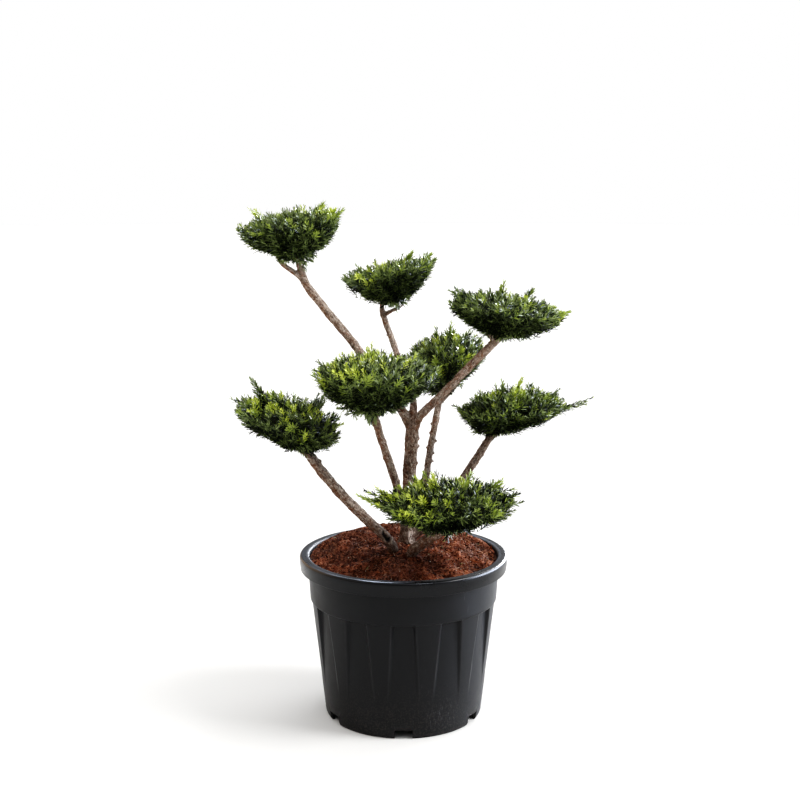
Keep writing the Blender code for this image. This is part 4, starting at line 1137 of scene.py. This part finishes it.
def needles_on(root, middle, tip, age, count, rng, first):
    """Needles round each shoot: points, faces, and how far up its shoot each needle stands."""
    shoots = len(root)
    t = np.linspace(first, 1.0, count)[None] + rng.normal(0, 0.010, (shoots, count))
    t = np.clip(t, 0.02, 1.0)
    foot, along = on_curve(root[:, None], middle[:, None], tip[:, None], t)
    side = unit(np.cross(along, np.array([0, 0, 1.0]) + rng.normal(0, 0.25, (shoots, 1, 3))))
    above = np.cross(side, along)
    turn = np.arange(count)[None] * NEEDLE_TURN + rng.uniform(0, 2 * math.pi, (shoots, 1))
    out = unit(np.cos(turn)[..., None] * side + 0.62 * np.sin(turn)[..., None] * above)
    lean = np.radians(mix(62.0, 20.0, t ** 1.5) + rng.normal(0, 8.0, t.shape))[..., None]
    way = unit(np.cos(lean) * along + np.sin(lean) * out)
    size = np.interp(t, [0, 0.3, 0.8, 1.0], [0.78, 1.0, 0.92, 0.60]) * rng.uniform(0.85, 1.12, t.shape)
    soft = age[:, None] == 2
    size *= rng.uniform(0.85, 1.15, (shoots, 1)) * np.where(soft, SOFT_LENGTH, 1.0)
    length = (NEEDLE * size)[..., None]
    face = unit(along - (along * way).sum(-1, keepdims=True) * way)
    edge = unit(np.cross(way, face) + rng.normal(0, 0.35, way.shape))
    half = NEEDLE_WIDTH / 2 * rng.uniform(0.85, 1.1, t.shape) * np.where(soft, SOFT_WIDTH, 1.0)
    half = half[..., None] * edge
    bow = -face * length
    points = np.stack([
        foot,
        foot + 0.26 * length * way - half + 0.010 * bow,
        foot + 0.26 * length * way + half + 0.010 * bow,
        foot + 0.76 * length * way - 0.88 * half + 0.07 * bow,
        foot + 0.76 * length * way + 0.88 * half + 0.07 * bow,
        foot + length * way + 0.13 * bow,
    ], axis=2)
    total = shoots * count
    faces = NEEDLE_FACES[None] + 6 * np.arange(total)[:, None, None]
    return points.reshape(-1, 3), faces.reshape(-1, 3), t.reshape(-1)


# %% [markdown]
# ### Greens
#
# A yew needle is a thick leaf with a waxy skin: dark green and slightly glossy when it is old, fresh green
# in its first summer, and a bright yellow-green while it is still soft. Each colour is a plain material.
# They are dealt out by shoot, so that young growth stands in tufts, mostly on top where the light is. Along
# a shoot the needles are painted darkest at its root, as shade deep in the cloud, and in the gaps of a ragged
# cloud whole shoots are painted in shade.

# %% The greens
GREENS = [new_finish(name, colour, rough, 0.25)[0] for name, colour, rough in (
    ("yew_needle_shaded", "#192110", 0.40),
    ("yew_needle_old", "#55623B", 0.30),
    ("yew_needle_mature", "#86945F", 0.30),
    ("yew_needle_fresh", "#A7B85C", 0.34),
    ("yew_needle_young", "#D5E269", 0.40),
)]
SHADED, OLD, MATURE, FRESH, YOUNG = range(5)


def patch_noise(points, size, seed):
    """A smooth value from -1 to 1 at each point, with patches of that size."""
    return np.array([noise.noise((x / size + seed, y / size, z / size)) for x, y, z in points])


def ages_of(score, young):
    """By score: 0 for old shoots, 1 for this year's, and 2 for the given share of soft young ones."""
    youngest, next_youngest = np.quantile(score, [1 - young, 1 - 1.8 * young])
    return np.where(score > youngest, 2, np.where(score > next_youngest, 1, 0))


def greens_of(age, t, count, rng, deep):
    """The green of each needle, from its place on its shoot and the shoot's age, which is -1 in a gap."""
    age = np.repeat(age, count)
    # Needles are painted darker towards the root of their shoot and in the gaps: painted shade deep in the
    # cloud.
    place = t + rng.normal(0, 0.19, t.shape) - 0.22 * (age < 0)
    green = np.where(place > 0.70, MATURE, np.where(place > 0.44, OLD, SHADED))
    green = np.where((age == 0.5) & (place > 0.90), FRESH, green)
    green = np.where(rng.random(len(t)) < deep, SHADED, green)
    green = np.where((age == 1) & (place > 0.34), MATURE, green)
    green = np.where((age == 1) & (place > 0.66), FRESH, green)
    green = np.where((age == 2) & (place > 0.30), FRESH, green)
    return np.where((age == 2) & (place > 0.55), YOUNG, green)


# %% Grow a whole cloud
def grow_shoots(cloud, rng, count, depth, length, landing, hub):
    """Shoots with their tips a given depth under the outline: root, middle, tip, start and age of each."""
    turn, level = spread(count, rng.uniform(0.2, 0.8))
    turn = turn + rng.normal(0, 0.05, count) + rng.uniform(0, 6)
    level = np.clip(level + rng.normal(0, 0.03, count), -1.0, 0.99)
    surface = outline(cloud, turn, level)
    origin = spreads_from(cloud, level)
    inward = unit(origin - surface)
    light = np.clip(0.55 + 0.45 * level - 0.2 * inward[:, 2], 0, 1)
    side = np.cos(turn - math.radians(cloud.sunny)) * (1 - np.clip(level, 0, 1))
    clusters = 0.55 * patch_noise(surface, 0.030, cloud.seed + 40)
    clusters = clusters + 0.30 * patch_noise(surface, 0.012, cloud.seed)
    score = clusters + 0.72 * light + 0.20 * side
    age = ages_of(score + rng.normal(0, 0.07, count), cloud.young)
    lumps = 0.5 + 0.5 * patch_noise(surface, 0.022, cloud.seed)
    bites = np.clip((patch_noise(surface, 0.034, cloud.seed + 80) - 0.04) / 0.40, 0, 1)
    strays = (0.007 + 0.007 * cloud.ragged) * (rng.random(count) < 0.09 + 0.07 * cloud.ragged)
    sunk = rng.uniform(*depth, count) + 0.006 * lumps + 0.020 * cloud.ragged * bites
    sunk = sunk - 0.004 * (age == 2) - strays
    tip = surface + inward * sunk[:, None]
    growth = unit(-inward + rng.normal(0, 0.22, tip.shape) + np.array([0, 0, 0.12]))
    reach = rng.uniform(*length, count)
    reach = np.minimum(reach, 0.85 * np.linalg.norm(tip - origin, axis=1))
    root = tip - growth * reach[:, None]
    middle = (root + tip) / 2 - np.array([0, 0, 1.0]) * (0.10 * reach)[:, None]
    middle = middle + rng.normal(0, 0.0015, tip.shape)
    start = landing[nearest(root, landing, hub)]
    fresh_tipped = (age == 0) & (light > 0.55) & (clusters + rng.normal(0, 0.15, count) > 0.04)
    in_a_gap = (age == 0) & (bites > 0.80 - 0.60 * cloud.ragged)
    return root, middle, tip, start, np.where(fresh_tipped, 0.5, np.where(in_a_gap, -1, age))


def grow_leaders(cloud, rng, hub):
    """Shoots that have outgrown the last clipping, each in a tuft with shorter ones beside it."""
    ends, roots, ages = [], [], []
    for *leader, age in cloud.leaders:
        leader = np.array(leader)
        way = unit(leader - hub)
        root = mix(leader, hub, 0.50)
        for back, aside in ((0.0, 0.0), (0.010, 0.006), (0.017, 0.009)):
            ends.append(leader - way * back + unit(rng.normal(size=3)) * aside)
            roots.append(root)
            ages.append(age)
    tip, root = np.array(ends), np.array(roots)
    middle = (root + tip) / 2 + np.array([0, 0, -0.004])
    return root, middle, tip, np.repeat(hub[None], len(tip), 0), np.array(ages, float)


OUTER_SHOOTS, INNER_SHOOTS = 390, 220  # for a cloud whose two radii have this product
SIZED_FOR = 0.0086


def build_cloud(cloud):
    """Grows the needles of a cloud, and gives the lines of its main twigs, its side twigs and its shoots."""
    rng = np.random.default_rng(cloud.seed)
    main, side, landing, hub = grow_twigs(cloud, rng)
    size = cloud.radii[0] * cloud.radii[1] / SIZED_FOR
    outer = grow_shoots(cloud, rng, int(OUTER_SHOOTS * size), (-0.001, 0.007), (0.030, 0.044), landing, hub)
    inner = grow_shoots(cloud, rng, int(INNER_SHOOTS * size), (0.016, 0.026), (0.024, 0.034), landing, hub)
    leaders = grow_leaders(cloud, rng, hub)
    tufts, greens, lines = [], [], []
    for shoots, count, first in ((outer, 34, 0.16), (inner, 22, 0.10), (leaders, 40, 0.30)):
        root, middle, tip, start, age = shoots
        points, faces, t = needles_on(root, middle, tip, age, count, rng, first)
        tufts.append((points, faces))
        if shoots is inner:
            # The inner shoots are painted in shade.
            green = np.where(t < 0.62 + cloud.deep, SHADED, OLD)
        else:
            green = greens_of(age, t, count, rng, cloud.deep)
        greens.append(np.repeat(green, len(NEEDLE_FACES)))
        halfway, _ = on_curve(root, middle, tip, np.full(len(root), 0.5))
        lines.append(np.stack([start, root, halfway, tip], 1))
    needles = make_piece("needles_" + cloud.name, *joined(tufts), GREENS, np.concatenate(greens), smooth=False)
    hand_over(needles, "needles", "foliage_" + cloud.name)
    return main, side, np.concatenate(lines)


# %% [markdown]
# Twigs of the last two summers are still green, and older wood has turned brown. So shoots get one finish
# and the twigs that carry them another.

# %% Finishes of the twigs
green_twig, _ = new_finish("green_yew_shoot", "#4A5A2A", 0.6, 0.3)


def brown_twig_finish():
    material, shader = new_finish("brown_yew_twig", "#5C4232", 0.8, 0.3)
    add = adder(material)
    place = add("TexCoord").outputs["Object"]
    rings = add("TexNoise", place, Scale=MM / 5, Detail=4.0, Roughness=0.65)
    colour = add("Mix", rings, "#3B2A1E", "#836A55", data_type="RGBA")
    plug(shader.inputs["Base Color"], colour)
    bump = add("Bump", Height=rings, Strength=0.6, Distance=0.0006)
    plug(shader.inputs["Normal"], bump)
    return material


brown_twig = brown_twig_finish()

# %% Build the eight clouds
for cloud in CLOUDS:
    main, side, shoots = build_cloud(cloud)
    parts = [tubes(main, np.linspace(0.0034, 0.0018, main.shape[1])[None], 6),
             tubes(side, np.linspace(0.0019, 0.0012, side.shape[1])[None], 5),
             tubes(shoots, [(0.0013, 0.0010, 0.0008, 0.0005)], 3)]
    worn_by = np.repeat((0, 0, 1), [len(faces) for _, faces in parts])
    twigs = make_piece("twigs_" + cloud.name, *joined(parts), [brown_twig, green_twig], worn_by)
    hand_over(twigs, "bark", "foliage_" + cloud.name)

# %% [markdown]
# ## The studio
#
# The plant stands on a plain pale floor in front of nothing but light. A broad lamp stands to the right and
# a little in front, so that the shadow falls to the left. A wide overhead light keeps the whites clean. Sun
# lamps are used, since they light a large floor evenly; their size makes them soft. The five sheens only
# show as gloss, on the edges of the plastic and on the needles, as strip lights do at the edge of a studio.

# %% Floor
floor_paint, _ = new_finish("matt_white_floor", "#F5F5F4", 0.9, 0.0)
FLOOR_RADIUS = 30.0
turns = [k * math.pi / 32 for k in range(64)]
corners = [(FLOOR_RADIUS * math.cos(t), FLOOR_RADIUS * math.sin(t), 0.0) for t in turns]
floor_mesh = bpy.data.meshes.new("studio_floor")
floor_mesh.from_pydata(corners, [], [range(len(corners))])
floor_mesh.materials.append(floor_paint)
floor = show("studio_floor", floor_mesh)


# %% Lights
def add_sun(name, azimuth, elevation, strength, softness, colour="#FFFFFF", only_gloss=False):
    """A sun lamp that shines from an azimuth, 0 in front and 90 at the right, and an elevation, in degrees."""
    data = bpy.data.lights.new(name, "SUN")
    data.energy = strength
    data.angle = math.radians(softness)
    data.color = linear(colour)[:3]
    lamp = show(name, data)
    a, e = math.radians(azimuth), math.radians(elevation)
    comes_from = Vector((math.sin(a) * math.cos(e), -math.cos(a) * math.cos(e), math.sin(e)))
    lamp.rotation_mode = "QUATERNION"
    lamp.rotation_quaternion = comes_from.to_track_quat("Z", "Y")
    lamp.visible_diffuse = not only_gloss


add_sun("key_from_the_right", 78, 44, 2.1, 24)
add_sun("overhead_softbox", 30, 82, 1.1, 100)
add_sun("fill_from_the_left", -75, 30, 0.55, 60, "#FFF4E8")
add_sun("sheen_from_behind_right", 150, 12, 8.5, 18, "#F2F6FF", only_gloss=True)
add_sun("sheen_from_the_right", 104, 8, 16.0, 50, "#E0EAFF", only_gloss=True)
add_sun("sheen_from_above", 35, 62, 1.1, 14, "#EEF4FF", only_gloss=True)
add_sun("sheen_over_the_back", -165, 54, 5.0, 18, "#DCE8FF", only_gloss=True)
add_sun("sheen_from_behind_left", -125, 16, 1.2, 60, "#FFDDB8", only_gloss=True)

# %% [markdown]
# The air of the studio is brighter above and on the right, where a large softbox stands a little behind the
# plant, and dim in front. The black pot shows this most: its edges catch the bright side, and its front
# stays dark. The camera itself sees plain white behind the plant.

# %% The air of the studio
world = bpy.data.worlds.new("studio_air")
bpy.context.scene.world = world
world.use_nodes = True
add = adder(world)
way_out = add("TexCoord").outputs["Generated"]
upward = add("VectorMath", way_out, (0.4, 0.3, 0.87), operation="DOT_PRODUCT")
dome = add("MapRange", upward, -0.35, 1.0, 0.08, 0.62)
towards = add("VectorMath", way_out, (0.56, 0.66, 0.5), operation="DOT_PRODUCT")
softbox = add("MapRange", towards, 0.86, 0.97, 0.0, 2.6)
both = add("Math", dome, softbox)
unseen = add("Background", Color=(1.0, 1.0, 1.0, 1.0), Strength=both)
seen = add("Background", Color=(1.0, 1.0, 1.0, 1.0), Strength=1.0)
looked_at = add("LightPath").outputs["Is Camera Ray"]
choose = add("MixShader", looked_at, unseen, seen)
plug(world.node_tree.nodes["World Output"].inputs[0], choose)

# %% [markdown]
# The render is toned as one for a catalogue: whites are kept clean, and the darkest tones are pulled down a
# little, so that the black plastic and the gaps between the needles read as truly dark.

# %% Tone the render
view = bpy.context.scene.view_settings
view.view_transform = "Standard"
view.use_curve_mapping = True
tones = view.curve_mapping.curves[3]
for light, shown in ((0.012, 0.004), (0.05, 0.030), (0.16, 0.150), (0.40, 0.430)):
    tones.points.new(light, shown)
view.curve_mapping.update()

# %% [markdown]
# The camera stands 2.4 m in front and a little over 1 m high, and looks down by nine and a half degrees
# with a 58.5 mm lens. From there the compost shows as a narrow oval, and the clouds are seen almost level.

# %% Camera
lens = bpy.data.cameras.new("camera")
lens.lens = 58.5
lens.sensor_width = 36.0
camera = show("camera", lens)
camera.location = (-0.0066, -2.4275, 1.0189)
camera.rotation_euler = (math.radians(90) - 0.1655, 0.0, 0.0)
bpy.context.scene.camera = camera
